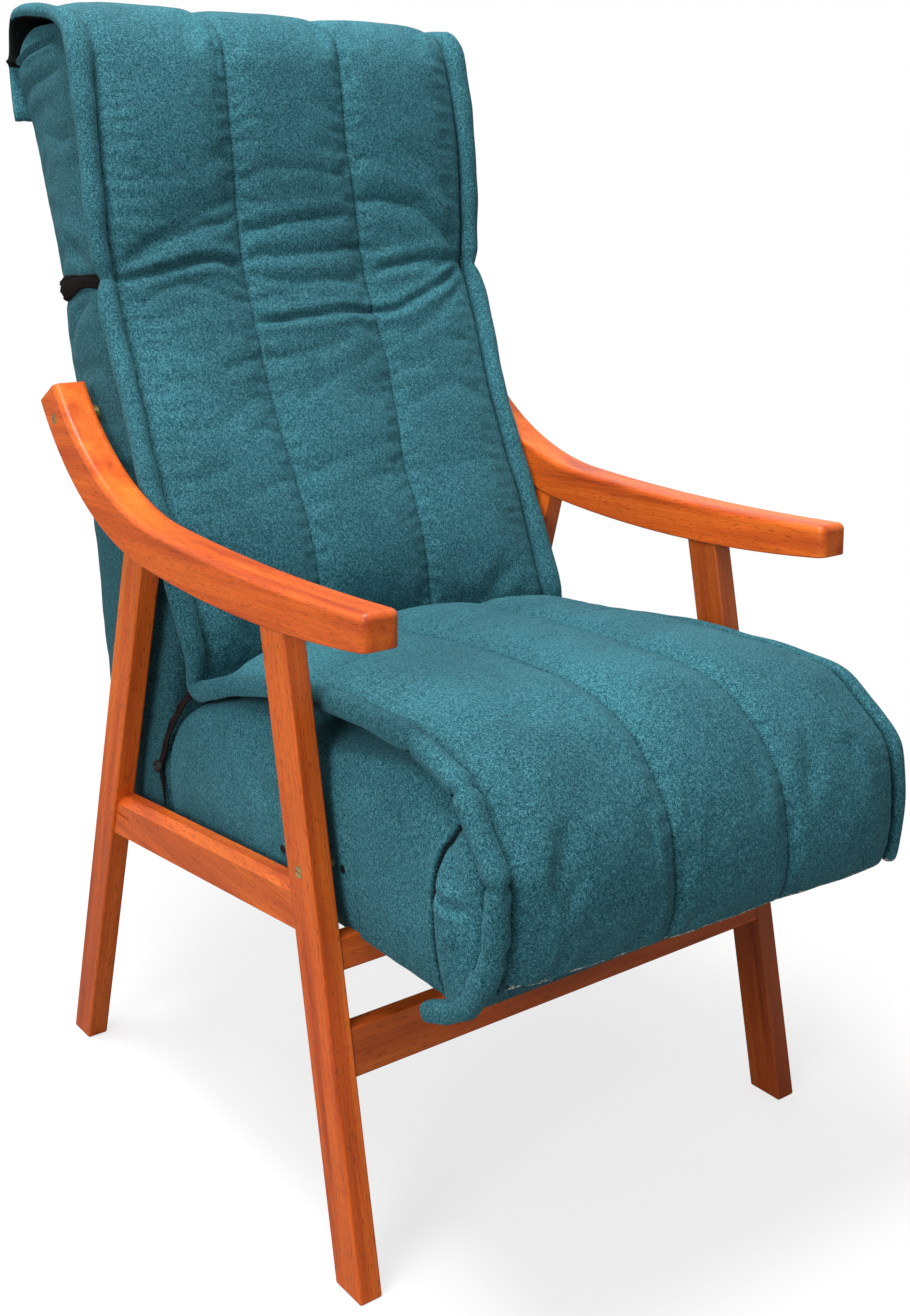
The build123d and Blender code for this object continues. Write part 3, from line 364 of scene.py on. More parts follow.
def dressFrame():
    spread = 0
    for runs, raw in ((grainRuns, False), (rawRuns, True)):
        for start, turn in runs.items():
            for name in sorted(n for n in nodes if n.startswith(start)):
                spread += 1
                offset = (0.37 * spread, 0.61 * spread, 0.23 * spread)
                dressNode(name, woodMaterial("wood_" + name, turn, offset, raw, paintedShadeBoards.get(name, 1.0)))
    for kind, (tint, roughness, names) in metalPlan.items():
        metal = metalMaterial(kind, tint, roughness)
        for name in names:
            dressNode(name, metal)
    webbing = wovenMaterial("webbing", (0.02, 0.018, 0.016, 1), (0.10, 0.085, 0.07, 1), 220)
    for name in ("back_webbing", "seat_webbing"):
        dressNode(name, webbing)


dressFrame()
quiltCloth = clothMaterial("quiltCloth", hem=True)
# one fabric in two copies: the back's darker copy is painted shade, the seat's lighter copy is painted light
backCloth = clothMaterial("backCloth", paintedLightGain=0.74)
seatCloth = clothMaterial("seatCloth", paintedLightGain=1.12, gap=True)
elastic = wovenMaterial("elastic", (0.002, 0.0015, 0.0015, 1), (0.016, 0.011, 0.010, 1), 420)
lining = wovenMaterial("lining", (0.001, 0.0015, 0.0016, 1), (0.006, 0.007, 0.007, 1), 900, 0.9)
print("stage: finishes")


def lengthAlong(points):
    return np.concatenate([[0], np.cumsum(np.linalg.norm(np.diff(points, axis=0), axis=1))])


def curveThrough(rows, at, fine):
    # cubic curve through the rows, which lie at the lengths "at", read at the lengths "fine"
    slopes = np.gradient(rows, at, axis=0)
    i = np.clip(np.searchsorted(at, fine, side="right") - 1, 0, len(at) - 2)
    gap = (at[i + 1] - at[i])[:, None]
    t = ((fine - at[i]) / gap[:, 0])[:, None]
    return ((2 * t ** 3 - 3 * t ** 2 + 1) * rows[i] + (t ** 3 - 2 * t ** 2 + t) * gap * slopes[i]
            + (3 * t ** 2 - 2 * t ** 3) * rows[i + 1] + (t ** 3 - t ** 2) * gap * slopes[i + 1])


def smoothRun(rows, count):
    # a smooth line through the rows, with its points the same distance apart along the first two columns
    rows = np.array(rows, float)
    at = lengthAlong(rows[:, :2])
    line = curveThrough(rows, at, np.linspace(0, at[-1], count * 6))
    length = lengthAlong(line[:, :2])
    even = np.linspace(0, length[-1], count)
    return np.stack([np.interp(even, length, column) for column in line.T], 1), even


def evenLine(points, count):
    points = np.array(points, float)
    at = lengthAlong(points)
    return curveThrough(points, at, np.linspace(0, at[-1], count))


def bell(distance, width):
    return np.exp(-(distance / width) ** 2)


def softness(place, layers):
    # how far soft cloth lies off, from layers of noise: scale and height
    return sum(noise.noise(place * scale) * height for scale, height in layers)


def ease(value):
    value = np.clip(value, 0, 1)
    return value * value * (3 - 2 * value)


def gapTo(points, y, z):
    # distance to a line of points, how far along it, and on which side
    points = np.array(points, float)
    best = np.full(np.shape(y), 1e9)
    along = np.zeros(np.shape(y))
    side = np.ones(np.shape(y))
    done = 0.0
    for (y1, z1), (y2, z2) in zip(points, points[1:]):
        length = math.hypot(y2 - y1, z2 - z1)
        wy, wz = (y2 - y1) / length, (z2 - z1) / length
        t = np.clip((y - y1) * wy + (z - z1) * wz, 0, length)
        off = np.hypot(y - y1 - t * wy, z - z1 - t * wz)
        nearer = off < best
        best = np.where(nearer, off, best)
        along = np.where(nearer, done + t, along)
        side = np.where(nearer, np.sign((y - y1) * wz - (z - z1) * wy), side)
        done += length
    return best, along, side, done


def reshape(thing, change):
    bm = bmesh.new()
    bm.from_mesh(thing.data)
    change(bm)
    bm.to_mesh(thing.data)
    bm.free()


def applyModifiers(thing):
    graph = bpy.context.evaluated_depsgraph_get()
    mesh = bpy.data.meshes.new_from_object(thing.evaluated_get(graph), depsgraph=graph)
    old = thing.data
    thing.modifiers.clear()
    thing.data = mesh
    bpy.data.meshes.remove(old)
    mesh.name = thing.name


def cornerList(thing):
    place = np.empty(len(thing.data.vertices) * 3)
    thing.data.vertices.foreach_get("co", place)
    return place.reshape(-1, 3)


def setFlow(thing, values):
    flow = thing.data.attributes.new("clothFlow", "FLOAT_VECTOR", "POINT")
    flow.data.foreach_set("vector", values.reshape(-1))


swellPlan = {"frames": 20, "settings": {
    "quality": 5, "use_pressure": True, "uniform_pressure_force": 4.0, "tension_stiffness": 12.0,
    "compression_stiffness": 12.0, "bending_stiffness": 0.3, "vertex_group_mass": "held"}}


def swell(thing, free, shrink, cap):
    # the cover is blown up by Blender's cloth where it is free, and moves no further than the cap
    start = cornerList(thing)
    group = thing.vertex_groups.new(name="held")
    for share in (0.0, 0.25, 0.5, 0.75, 1.0):
        chosen = np.nonzero(np.abs(1 - free - share) <= 0.125)[0]
        group.add([int(i) for i in chosen], share, "REPLACE")
    cloth = thing.modifiers.new("cloth", "CLOTH")
    for key, value in swellPlan["settings"].items():
        setattr(cloth.settings, key, value)
    cloth.settings.shrink_min = shrink
    cloth.settings.effector_weights.gravity = 0
    cloth.collision_settings.use_collision = False
    cloth.point_cache.frame_start = 1
    cloth.point_cache.frame_end = swellPlan["frames"]
    for frame in range(1, swellPlan["frames"] + 1):
        bpy.context.scene.frame_set(frame)
    move = cornerList(thing.evaluated_get(bpy.context.evaluated_depsgraph_get())) - start
    thing.modifiers.remove(cloth)
    thing.vertex_groups.clear()
    bpy.context.scene.frame_set(1)
    reach = np.linalg.norm(move, axis=1, keepdims=True) + 1e-9
    cap *= millimetre
    return move * np.tanh(reach / cap) * cap / reach * free[:, None]


# the quilted overlay
quiltPlan = {
    # (y, z) of the middle line at the middle, left and right, half width, fullness and roll radius
    "stations": [
        (405, 1025, 400, 1025, 403, 1025, 250, 0.2, 4.5), (411, 1047, 407, 1047, 408, 1045, 250, 0.2, 4.5),
        (417, 1074, 413, 1073, 413, 1072, 250, 0.3, 4.5), (418, 1101, 411, 1100, 414, 1099, 250, 0.3, 4.5),
        (412, 1124, 407, 1128, 408, 1120, 250, 0.3, 4.6), (403, 1133, 399, 1140, 398, 1130, 250, 0.35, 5.5),
        (386, 1137, 382, 1143, 380, 1133, 250, 0.4, 7.0), (347, 1137, 345, 1142, 346, 1134, 251, 0.5, 8.0),
        (302, 1135, 300, 1136, 305, 1132, 252, 0.6, 8.5), (266, 1130, 270, 1128, 262, 1128, 254, 0.7, 10.5),
        (247, 1122, 252, 1117, 246, 1124, 255, 0.8, 13.0),
        (234, 1110, 240, 1100, 235, 1113, 256, 0.9, 13.5), (227, 1092, 232, 1080, 228, 1096, 256, 1.0, 13.5),
        (222, 1068, 226, 1056, 221, 1070, 256, 1.0, 12.5), (216, 1020, 219, 1020, 212, 1020, 256, 1.0, 11.5),
        (212, 970, 214, 970, 208, 970, 256, 1.0, 11.0), (208, 920, 209, 920, 205, 920, 255, 1.0, 11.0),
        (198, 860, 199, 860, 198, 860, 254, 1.0, 11.0), (181, 808, 181, 808, 182, 808, 254, 1.0, 11.0),
        (162, 760, 161, 760, 163, 760, 252, 1.0, 11.0), (142, 715, 140, 715, 143, 715, 250, 1.0, 11.0),
        (122, 675, 121, 675, 124, 675, 250, 1.0, 11.0), (102, 632, 100, 632, 105, 632, 250, 1.0, 11.0),
        (82, 595, 79, 595, 85, 595, 250, 1.0, 11.0), (66, 557, 58, 557, 65, 557, 249, 1.0, 11.5),
        (59, 520, 38, 519, 44, 519, 247, 1.0, 11.5), (57, 490, 30, 487, 27, 489, 244, 0.9, 11.5),
        (50, 468, 31, 458, 21, 464, 243, 0.6, 10.5), (31, 473, 18, 454, 2, 464, 243, 0.7, 10.5),
        (2, 487, -8, 462, -20, 467, 243, 1.0, 10.5), (-40, 497, -40, 473, -45, 473, 242, 1.0, 10.5),
        (-90, 500, -92, 486, -90, 480, 241, 1.0, 10.5), (-150, 504, -150, 497, -150, 487, 241, 1.0, 10.5),
        (-215, 508, -215, 505, -215, 493, 241, 1.0, 10.5), (-280, 511, -283, 508, -280, 495, 241, 1.0, 10.5),
        (-335, 511, -350, 509, -348, 495, 241, 1.0, 10.5), (-378, 502, -383, 500, -400, 489, 241, 1.0, 10.5),
        (-412, 485, -414, 488, -430, 468, 241, 1.0, 10.5), (-438, 459, -440, 459, -458, 446, 241, 1.0, 10.5),
        (-456, 430, -463, 425, -466, 428, 241, 1.0, 10.5), (-462, 397, -459, 395, -469, 400, 241, 1.0, 10.5),
        (-463, 366, -451, 369, -468, 366, 240, 1.0, 10.5), (-459, 344, -443, 343, -465, 343, 239, 0.9, 10.3),
        (-452, 326, -436, 322, -461, 324, 239, 0.5, 10.0)],
    "rows": 540, "across": 36, "under": 12, "rollTurns": 14,
    "crowding": 0.6, "plumpness": 0.45, "underGap": 30.0,
    "seamLevel": 6.2, "edgeLevel": -9.6, "edgeReach": 6.5, "crown": 5.8, "base": -10.5, "rollStart": 212,
    # height on the back, or y on the seat, and x of the two long seams
    "backSeams": [(640, -72, 72), (692, -76, 80), (747, -79, 84), (807, -79, 79), (929, -80, 76),
                  (993, -80, 68), (1120, -78, 70)],
    "seatSeams": [(-460, -56, 78), (-335, -52, 78), (-280, -48, 79), (-198, -43, 84), (-125, -44, 90),
                  (60, -60, 86)],
    "farRoll": 0.68,
    "pinchZ": 857, "pinchReach": 15, "pinchDepth": 9.0, "pinchSqueeze": 0.38, "funnelDepth": 8.0,
    "funnelReach": 34, "funnelX": 226,
    "backLow": 478, "backFront": 245, "creaseY": 44, "creaseSeat": 20, "creaseBack": 12, "creaseNip": 0.85,
    "creaseBetween": (15, 75), "creaseTurn": 15, "creaseSqueeze": 0.15, "creaseSqueezeReach": 14,
    "puckerLength": 17.0, "puckerHeight": 0.42, "puckerReach": 11.0, "seamSink": 1.3, "seamSinkReach": 1.6,
    # amount and length of the waves in the roll's thickness and in the overlay's sideways sway
    "rollWaves": [(0.045, 23, 1.7, 71), (0.03, 9.1, 0, 1)], "sway": [(1.6, 83, 0.6), (0.8, 31, 0)],
    "endReach": 9, "blunt": 0.72, "flapBlunt": 0.3, "strapNips": [(0, 0.12), (-9, 0.10)],
    "kinkWidth": 3.2, "kinkSwell": 0.04, "kinkSwellAt": 11, "kinkSwellReach": 7,
    "kinks": [(-353, 509, 0.34), (-414, 488, 0.32), (-463, 425, 0.34), (-451, 366, 0.14), (412, 1091, -0.9)],
    "kinkLine": [(-283, 508), (-353, 509), (-413, 490), (-460, 426), (-453, 381), (-444, 352), (-435, 334),
                 (-422, 318)],
    "kinkReach": 26, "kinkX": -235, "kinkOut": 6.0, "kinkOutRun": 80, "sideX": 240,
    "liningTop": (417, 1084), "knot": (412, 1091), "knotReach": 6, "flapCorner": (399, 1141),
    "liningTurn": (6, 2),
    "soft": [(9, 1.3), (27, 0.9), (60, 0.35)], "softSeam": 12, "softRoll": 0.35, "shrink": -0.035, "cap": 6.0,
    "freeSeam": 9, "heldSide": 30, "freeSide": 24, "creaseHold": 0.8, "creaseHoldReach": 22}


def quiltRing(plan, half, full, radius, farRadius, seams, nip):
    # one cross-section: x, height above the middle line and the distance to the nearest seam
    start = math.radians(plan["rollStart"])
    inside = half - radius * (1 - math.cos(start))
    farInside = half - farRadius * (1 - math.cos(start))
    edges = (-inside, seams[0], seams[1], farInside)
    ring = []
    steps = np.linspace(0, 1, plan["across"] + 1)
    steps = plan["crowding"] * (0.5 - 0.5 * np.cos(steps * np.pi)) + (1 - plan["crowding"]) * steps
    for low, high in zip(edges, edges[1:]):
        for step in steps[:-1]:
            x = low + (high - low) * step
            rise = (4 * step * (1 - step)) ** plan["plumpness"]
            toBorder = farInside - x if x > 0 else inside + x
            border = 1 - math.exp(-toBorder / plan["edgeReach"])
            top = plan["seamLevel"] * (0.6 + 0.4 * full) + plan["crown"] * full * rise
            ring.append((x, (plan["edgeLevel"] * radius / 12 * (1 - border) + top * border) * nip,
                         min(x - low, high - x, 0.55 * toBorder)))
    turns = np.linspace(start, math.radians(-90), plan["rollTurns"] + 1)
    for turn in turns:
        ring.append((half - farRadius + farRadius * math.cos(turn), farRadius * math.sin(turn),
                     farRadius * abs(turn - start)))
    for share in np.linspace(1, -1, plan["under"] + 1)[1:-1]:
        ring.append((share * (half - radius), plan["base"] * (0.4 + 0.6 * nip) * min((radius + 2.5) / 13, 1),
                     plan["underGap"]))
    for turn in turns[::-1]:
        ring.append((-half + radius - radius * math.cos(turn), radius * math.sin(turn),
                     radius * abs(turn - start)))
    return ring


# depth, width, rise of the ridges beside it, and the line's points as x and height z, in millimetres
backFolds = [
    (3.0, 8.4, 0.52, [(-223, 863), (-199, 890), (-166, 907), (-124, 924), (-81, 938)]),
    (5.0, 3.7, 0.72, [(-226, 855), (-179, 861), (-138, 869), (-118, 871), (-81, 865)]),
    (2.6, 4.3, 0.72, [(-77, 900), (-51, 906), (-7, 913), (38, 916), (66, 921)]),
    (2.0, 4.3, 0.72, [(-76, 874), (-38, 873), (10, 875), (56, 880), (98, 880)]),
    (2.1, 4.3, 0.62, [(-60, 846), (-18, 842), (26, 843), (68, 843)]),
    (1.2, 3.7, 0.62, [(-69, 825), (-30, 831), (10, 832)]),
    (4.2, 3.2, 0.62, [(-78, 804), (-50, 801), (-6, 804), (40, 807), (109, 806), (141, 818), (180, 833),
                      (224, 857)]),
    (1.7, 4.9, 0.52, [(-136, 752), (-96, 763), (-54, 763), (-15, 766), (46, 779)]),
    (1.1, 5.6, 0.52, [(-148, 693), (-122, 713), (-94, 724)]),
    (1.1, 5.6, 0.52, [(-36, 720), (-2, 735), (38, 747), (80, 766)]),
    (3.6, 7.0, 0.62, [(222, 863), (192, 900), (156, 926), (96, 938), (72, 931)]),
    (3.6, 4.3, 0.72, [(224, 861), (172, 865), (104, 855), (84, 850)]),
    (2.4, 4.3, 0.72, [(-220, 866), (-191, 890), (-126, 908), (-84, 914)]),
    (1.4, 5.6, 0.52, [(-224, 849), (-170, 849), (-136, 839), (-90, 823)]),
    (1.1, 5.6, 0.52, [(-172, 823), (-121, 817), (-84, 819)]),
    (1.1, 5.6, 0.52, [(-76, 957), (-44, 972), (24, 968), (65, 963)]),
    (1.7, 5.6, 0.62, [(156, 994), (198, 951), (224, 879)]),
    (1.4, 4.9, 0.62, [(224, 850), (190, 815), (150, 790), (110, 776)]),
    (1.0, 6.3, 0.52, [(-222, 846), (-200, 800), (-170, 760)]),
    (1.0, 6.3, 0.52, [(100, 700), (150, 716), (200, 742)]),
    (0.9, 6.3, 0.52, [(-60, 640), (0, 652), (60, 668)]),
    (0.9, 6.3, 0.52, [(-200, 600), (-150, 622), (-90, 636)])]


# the fade at a fold's ends and its reach in millimetres, and the ridges beside it in widths of the fold
foldPlan = {"startRun": 18, "endRun": 26, "reach": 60, "ridgeAt": 3.2, "ridgeWidth": 2.0}


def foldLift(folds, x, s, placeOf):
    plan = foldPlan
    lift = np.zeros_like(x)
    for depth, width, ridge, points in folds:
        off, along, _, length = gapTo([(px, placeOf(pz)) for px, pz in points], x, s)
        fade = ease((along + 6) / plan["startRun"]) * ease((length - along + 4) / plan["endRun"])
        fade = np.where(off > plan["reach"], 0, fade)
        lift += depth * fade * (ridge * bell(off - plan["ridgeAt"] * width, plan["ridgeWidth"] * width)
                                - np.exp(-off / width))
    return lift


def spread(coarse, rows, columns):
    # the coarse grid's moves, laid smoothly over the fine one
    place = np.linspace(0, coarse.shape[0] - 1, rows)
    low = np.minimum(place.astype(int), coarse.shape[0] - 2)
    share = ease(place - low)[:, None, None]
    tall = coarse[low] * (1 - share) + coarse[low + 1] * share
    closed = np.concatenate([tall, tall[:, :1]], 1)
    place = np.arange(columns) / columns * coarse.shape[1]
    low = place.astype(int)
    share = (place - low)[None, :, None]
    return closed[:, low] * (1 - share) + closed[:, low + 1] * share


def wrapGrid(name, places, flow=None):
    # a closed skin over a grid of places whose columns run round, in metres
    rows, columns = places.shape[:2]
    bm = bmesh.new()
    layer = bm.verts.layers.float_vector.new("clothFlow")
    cell = bm.verts.layers.int.new("cell")
    bmesh.ops.create_grid(bm, x_segments=columns, y_segments=rows - 1, size=1)
    bm.verts.ensure_lookup_table()
    for i, vert in enumerate(bm.verts):
        row, column = divmod(i, columns + 1)
        column %= columns
        vert.co = places[row, column]
        vert[cell] = row * columns + column
        if flow is not None:
            vert[layer] = flow[row, column]
    bmesh.ops.remove_doubles(bm, verts=bm.verts, dist=0.000001)
    bmesh.ops.holes_fill(bm, edges=[e for e in bm.edges if e.is_boundary], sides=0)
    bmesh.ops.triangulate(bm, faces=[f for f in bm.faces if len(f.verts) > 4])
    bmesh.ops.recalc_face_normals(bm, faces=bm.faces)
    order = np.array([vert[cell] for vert in bm.verts])
    return meshObject(name, bm), order


def waves(length, rows):
    # sum of waves, each of which may drift on a longer one
    total = 0
    for height, reach, *rest in rows:
        drift = rest[0] * np.sin(length / rest[1]) if len(rest) > 1 else rest[0]
        total = total + height * np.sin(length / reach + drift)
    return total


def buildQuilt(plan):
    line, length = smoothRun(plan["stations"], plan["rows"])
    half, full, radius = line[:, 6], line[:, 7], line[:, 8]
    onBack = (line[:, 1] > plan["backLow"]) & (line[:, 0] < plan["backFront"])
    onBack &= line[:, 0] > plan["creaseY"]
    backOrder = np.argsort(line[onBack, 1])
    heights, lengths = line[onBack, 1][backOrder], length[onBack][backOrder]

    def placeOf(z):
        return float(np.interp(z, heights, lengths))

    def nearest(y, z, first=2):
        # length along the overlay where its left side, or its middle, comes nearest to a point
        return float(length[np.argmin(np.hypot(line[:, first] - y, line[:, first + 1] - z))])

    low, high = plan["creaseBetween"]
    outside = (line[:, 0] < low) | (line[:, 0] > high)
    crease = float(length[np.argmin(line[:, 1] + 1e3 * outside)])
    pinch = placeOf(plan["pinchZ"])
    seatSide = ease((length - crease + plan["creaseTurn"]) / (2 * plan["creaseTurn"]))
    backSeams, seatSeams = np.array(plan["backSeams"], float), np.array(plan["seatSeams"], float)
    seams = [np.interp(line[:, 1], backSeams[:, 0], backSeams[:, k]) * (1 - seatSide)
             + np.interp(line[:, 0], seatSeams[:, 0], seatSeams[:, k]) * seatSide for k in (1, 2)]
    farRadius = radius * (1 - (1 - plan["farRoll"]) * seatSide)
    rings = []
    for row, s in enumerate(length):
        nip = math.exp(-abs(s - pinch) / plan["pinchReach"])
        off = s - crease
        pull = 1 - plan["creaseNip"] * math.exp(-abs(off) / plan["creaseSeat" if off > 0 else "creaseBack"])
        squeeze = (1 - plan["pinchSqueeze"] * nip) * (
            1 - plan["creaseSqueeze"] * bell(off, plan["creaseSqueezeReach"]))
        rings.append(quiltRing(plan, half[row] - plan["pinchDepth"] * nip, full[row], radius[row] * squeeze,
                               farRadius[row] * squeeze, (seams[0][row], seams[1][row]), pull))
    rings = np.array(rings)
    rows, columns = rings.shape[:2]
    x, height, seamGap = rings[..., 0].copy(), rings[..., 1].copy(), rings[..., 2]
    s = np.repeat(length[:, None], columns, 1)
    order = np.arange(columns)[None, :]
    topColumns = 3 * plan["across"]
    topSide = order < topColumns
    nearRoll = order >= columns - plan["rollTurns"] - 1
    farRoll = (order >= topColumns) & (order <= topColumns + plan["rollTurns"])
    roll = nearRoll | farRoll

    # folds, the dents at the strap's ends, puckers along the seams
    lift = foldLift(backFolds, x, s, placeOf)
    for side in (-1, 1):
        off = np.hypot(x - side * plan["funnelX"], s - pinch)
        lift -= plan["funnelDepth"] * np.exp(-off / plan["funnelReach"])
    wave = np.sin(s / plan["puckerLength"] * 2 * np.pi + 2.4 * np.sin(s / 47) + 3 * np.sin(x / 90))
    lift += plan["puckerHeight"] * wave * bell(seamGap, plan["puckerReach"])
    lift -= plan["seamSink"] * np.exp(-seamGap / plan["seamSinkReach"]) * (radius / 12)[:, None]
    height += np.where(topSide, lift, 0)

    # the roll's kinks, waves and blunt ends
    centre = np.where(x < 0, (radius - half)[:, None], (half - farRadius)[:, None])
    nips = [(nearest(y, z), depth) for y, z, depth in plan["kinks"]]
    nips += [(pinch + shift, depth) for shift, depth in plan["strapNips"]]
    for place, depth in nips:
        away = np.abs(s - place)
        tight = 1 - depth * np.exp(-away / plan["kinkWidth"]) + plan["kinkSwell"] * bell(
            away - plan["kinkSwellAt"], plan["kinkSwellReach"])
        tight = np.where(nearRoll | (place <= pinch), tight, 1)
        x = centre + (x - centre) * np.where(roll, tight, 1)
        height = height * np.where(roll, tight, 1)
    rollWave = 1 + waves(s, plan["rollWaves"])
    x = centre + (x - centre) * np.where(roll, rollWave, 1)
    height *= np.where(roll, rollWave, 1)
    ends = np.clip(np.minimum(length, length[-1] - length) / plan["endReach"], 0, 1)
    blunt = np.where(length > pinch, plan["blunt"], plan["flapBlunt"])
    height *= np.where(nearRoll & (s > pinch), 1, (blunt + (1 - blunt) * np.sqrt(ends))[:, None])

    # the middle line bends across the overlay, and runs straight from kink to kink under the near roll
    side = np.clip(x / plan["sideX"], -1, 1)
    low, high = (1 - side) / 2, (1 + side) / 2
    bend = 1 - side ** 2
    middle = []
    for k in (0, 1):
        straight = line[:, 2 + k][:, None] * low + line[:, 4 + k][:, None] * high
        crown = line[:, k] - (line[:, 2 + k] + line[:, 4 + k]) / 2
        middle.append(straight + bend * crown[:, None])
    kinkLine = np.array(plan["kinkLine"], float)
    knots = [nearest(y, z) for y, z in kinkLine]
    within = (length > knots[0]) & (length < knots[-1])
    local = bell(x - plan["kinkX"], plan["kinkReach"]) * within[:, None]
    for k in (0, 1):
        straight = np.interp(length, knots, kinkLine[:, k])
        middle[k] = middle[k] + (straight - line[:, 2 + k])[:, None] * local
    run = [np.gradient(part, axis=0) for part in middle]
    reach = np.hypot(*run)
    normal = (run[1] / reach, -run[0] / reach)
    x = x - plan["kinkOut"] * local * ease((length - knots[0]) / plan["kinkOutRun"])[:, None]
    places = np.stack([x + waves(length, plan["sway"])[:, None], middle[0] + normal[0] * height + planShift,
                       middle[1] + normal[1] * height], -1) * millimetre

    # a thinned copy is blown up, and its moves are laid over the fine grid
    thin = places[::2, ::2]
    model, cells = wrapGrid("quiltModel", thin)
    thinRows, thinColumns = thin.shape[:2]
    freeGrid = np.where(topSide, ease((seamGap - 2) / plan["freeSeam"]), 0) * ends[:, None] ** 2
    freeGrid = freeGrid * ease((half[:, None] - plan["heldSide"] - np.abs(x)) / plan["freeSide"])
    freeGrid *= 1 - plan["creaseHold"] * bell(length - crease, plan["creaseHoldReach"])[:, None]
    moved = np.zeros((thinRows * thinColumns, 3))
    moved[cells] = swell(model, freeGrid[::2, ::2].reshape(-1)[cells], plan["shrink"], plan["cap"])
    bpy.data.objects.remove(model)
    places = places + spread(moved.reshape(thinRows, thinColumns, 3), rows, columns)

    soft = np.array([softness(Vector(place), plan["soft"]) for place in places.reshape(-1, 3)])
    soft = soft.reshape(rows, columns) * millimetre
    soft *= np.where(topSide, ease(seamGap / plan["softSeam"]), plan["softRoll"])
    places[..., 1] += normal[0] * soft
    places[..., 2] += normal[1] * soft
    hem = np.where(nearRoll, clothReach, np.minimum(length[-1] - length, clothReach)[:, None])
    quilt, cells = wrapGrid("quiltOverlay", places, np.stack([s, hem, seamGap], -1) * millimetre)
    quilt.data.materials.append(quiltCloth)
    quilt.data.materials.append(lining)

    # the lining shows under the top and at the back of the head, above the flap's turned-in hem
    turned = np.where(length < nearest(*plan["flapCorner"]), *plan["liningTurn"])[:, None]
    lined = ((order > topColumns + plan["rollTurns"] - 3) & (order < columns - plan["rollTurns"] + turned)
             & (length > nearest(*plan["liningTop"], 0))[:, None])
    lined |= nearRoll & (np.abs(length - nearest(*plan["knot"])) < plan["knotReach"])[:, None]
    lined = lined.reshape(-1)[cells]
    for face in quilt.data.polygons:
        face.material_index = int(all(lined[i] for i in face.vertices))
    return quilt


# upholstered blocks; seams and folds are (y, z) lines on both side faces
backPlan = {
    "outline": [(94, 312), (94, 350), (93, 400), (80, 470), (71, 520), (75, 560), (93, 602), (118, 642),
                (144, 692), (188, 800), (218, 921), (229, 1000), (238, 1066), (255, 1104), (287, 1124),
                (342, 1130), (388, 1123), (408, 1103), (409, 1074), (396, 1030), (372, 965), (342, 890),
                (328, 850), (319, 795), (291, 697), (273, 610), (247, 450), (222, 312)],
    "ear": (382, 1088), "earReach": 52, "earOut": 9.0,
    "crown": 4.0, "crownFrom": 1080, "swell": 24.0, "swellAt": 490,
    "half": 235.5, "count": 170, "rounding": 8.0, "voxel": 7.0, "smooth": 3, "shrink": -0.02, "cap": 7.0,
    "nip": (224, 852, 322, 834), "nipReach": 12, "nipDepth": 5.0, "lip": 24.0, "seams": [],
    "folds": [(-3.4, 1.5, [(300, 1116), (330, 1111), (363, 1103), (392, 1093), (418, 1083)]),
              (4.2, 3.0, [(300, 1110), (330, 1105), (363, 1097), (392, 1087), (418, 1077)]),
              (2.6, 7, [(288, 1078), (318, 1072), (351, 1063), (403, 1049)]),
              (2.5, 7, [(232, 866), (262, 878), (300, 900)]), (2.5, 7, [(236, 838), (270, 815), (296, 780)]),
              (2.0, 8, [(240, 1010), (290, 1000), (340, 1010)])]}
seatPlan = {
    "outline": [(-422, 313), (-433, 350), (-437, 392), (-433, 428), (-418, 452), (-394, 473), (-352, 484),
                (-280, 475), (-228, 467), (-106, 462), (-25, 452), (40, 431), (76, 404), (94, 368), (97, 342),
                (94, 324), (86, 313)],
    "crown": 15.0, "crownFrom": 415, "swell": 0.0, "swellAt": 400, "lip": 15.0,
    "half": 236.5, "count": 110, "rounding": 7.0, "voxel": 6.5, "smooth": 2, "shrink": -0.02, "cap": 6.0,
    "seams": [[(-410, 456), (-394, 434), (-385, 413), (-381, 387), (-384, 352), (-389, 300)]],
    "folds": [(4.0, 4, [(-384, 396), (-402, 391), (-428, 392)]),
              (2.0, 9, [(-330, 440), (-290, 452), (-240, 450)]),
              (1.6, 9, [(-180, 400), (-120, 396), (-70, 410)])]}
gussetPlan = {"grooveDepth": 6.5, "grooveWidth": 1.7, "bulge": 7.5, "bulgeMiddle": 28, "bulgeReach": 30,
              "ridge": 2.0, "ridgeAt": -4, "ridgeReach": 2.2, "seamReach": 40, "swellReach": 36,
              "soft": [(0.011, 1.6), (0.036, 0.6)], "bulgeRun": 8, "foldRun": 20, "crownRun": 30,
              "fineReach": 11, "fineDepth": 12,
              # how far in from the side faces the cover is free to swell, and how near to their rims
              "freeDepth": 7, "freeDepthRun": 5, "freeRim": 5, "freeRimRun": 22}


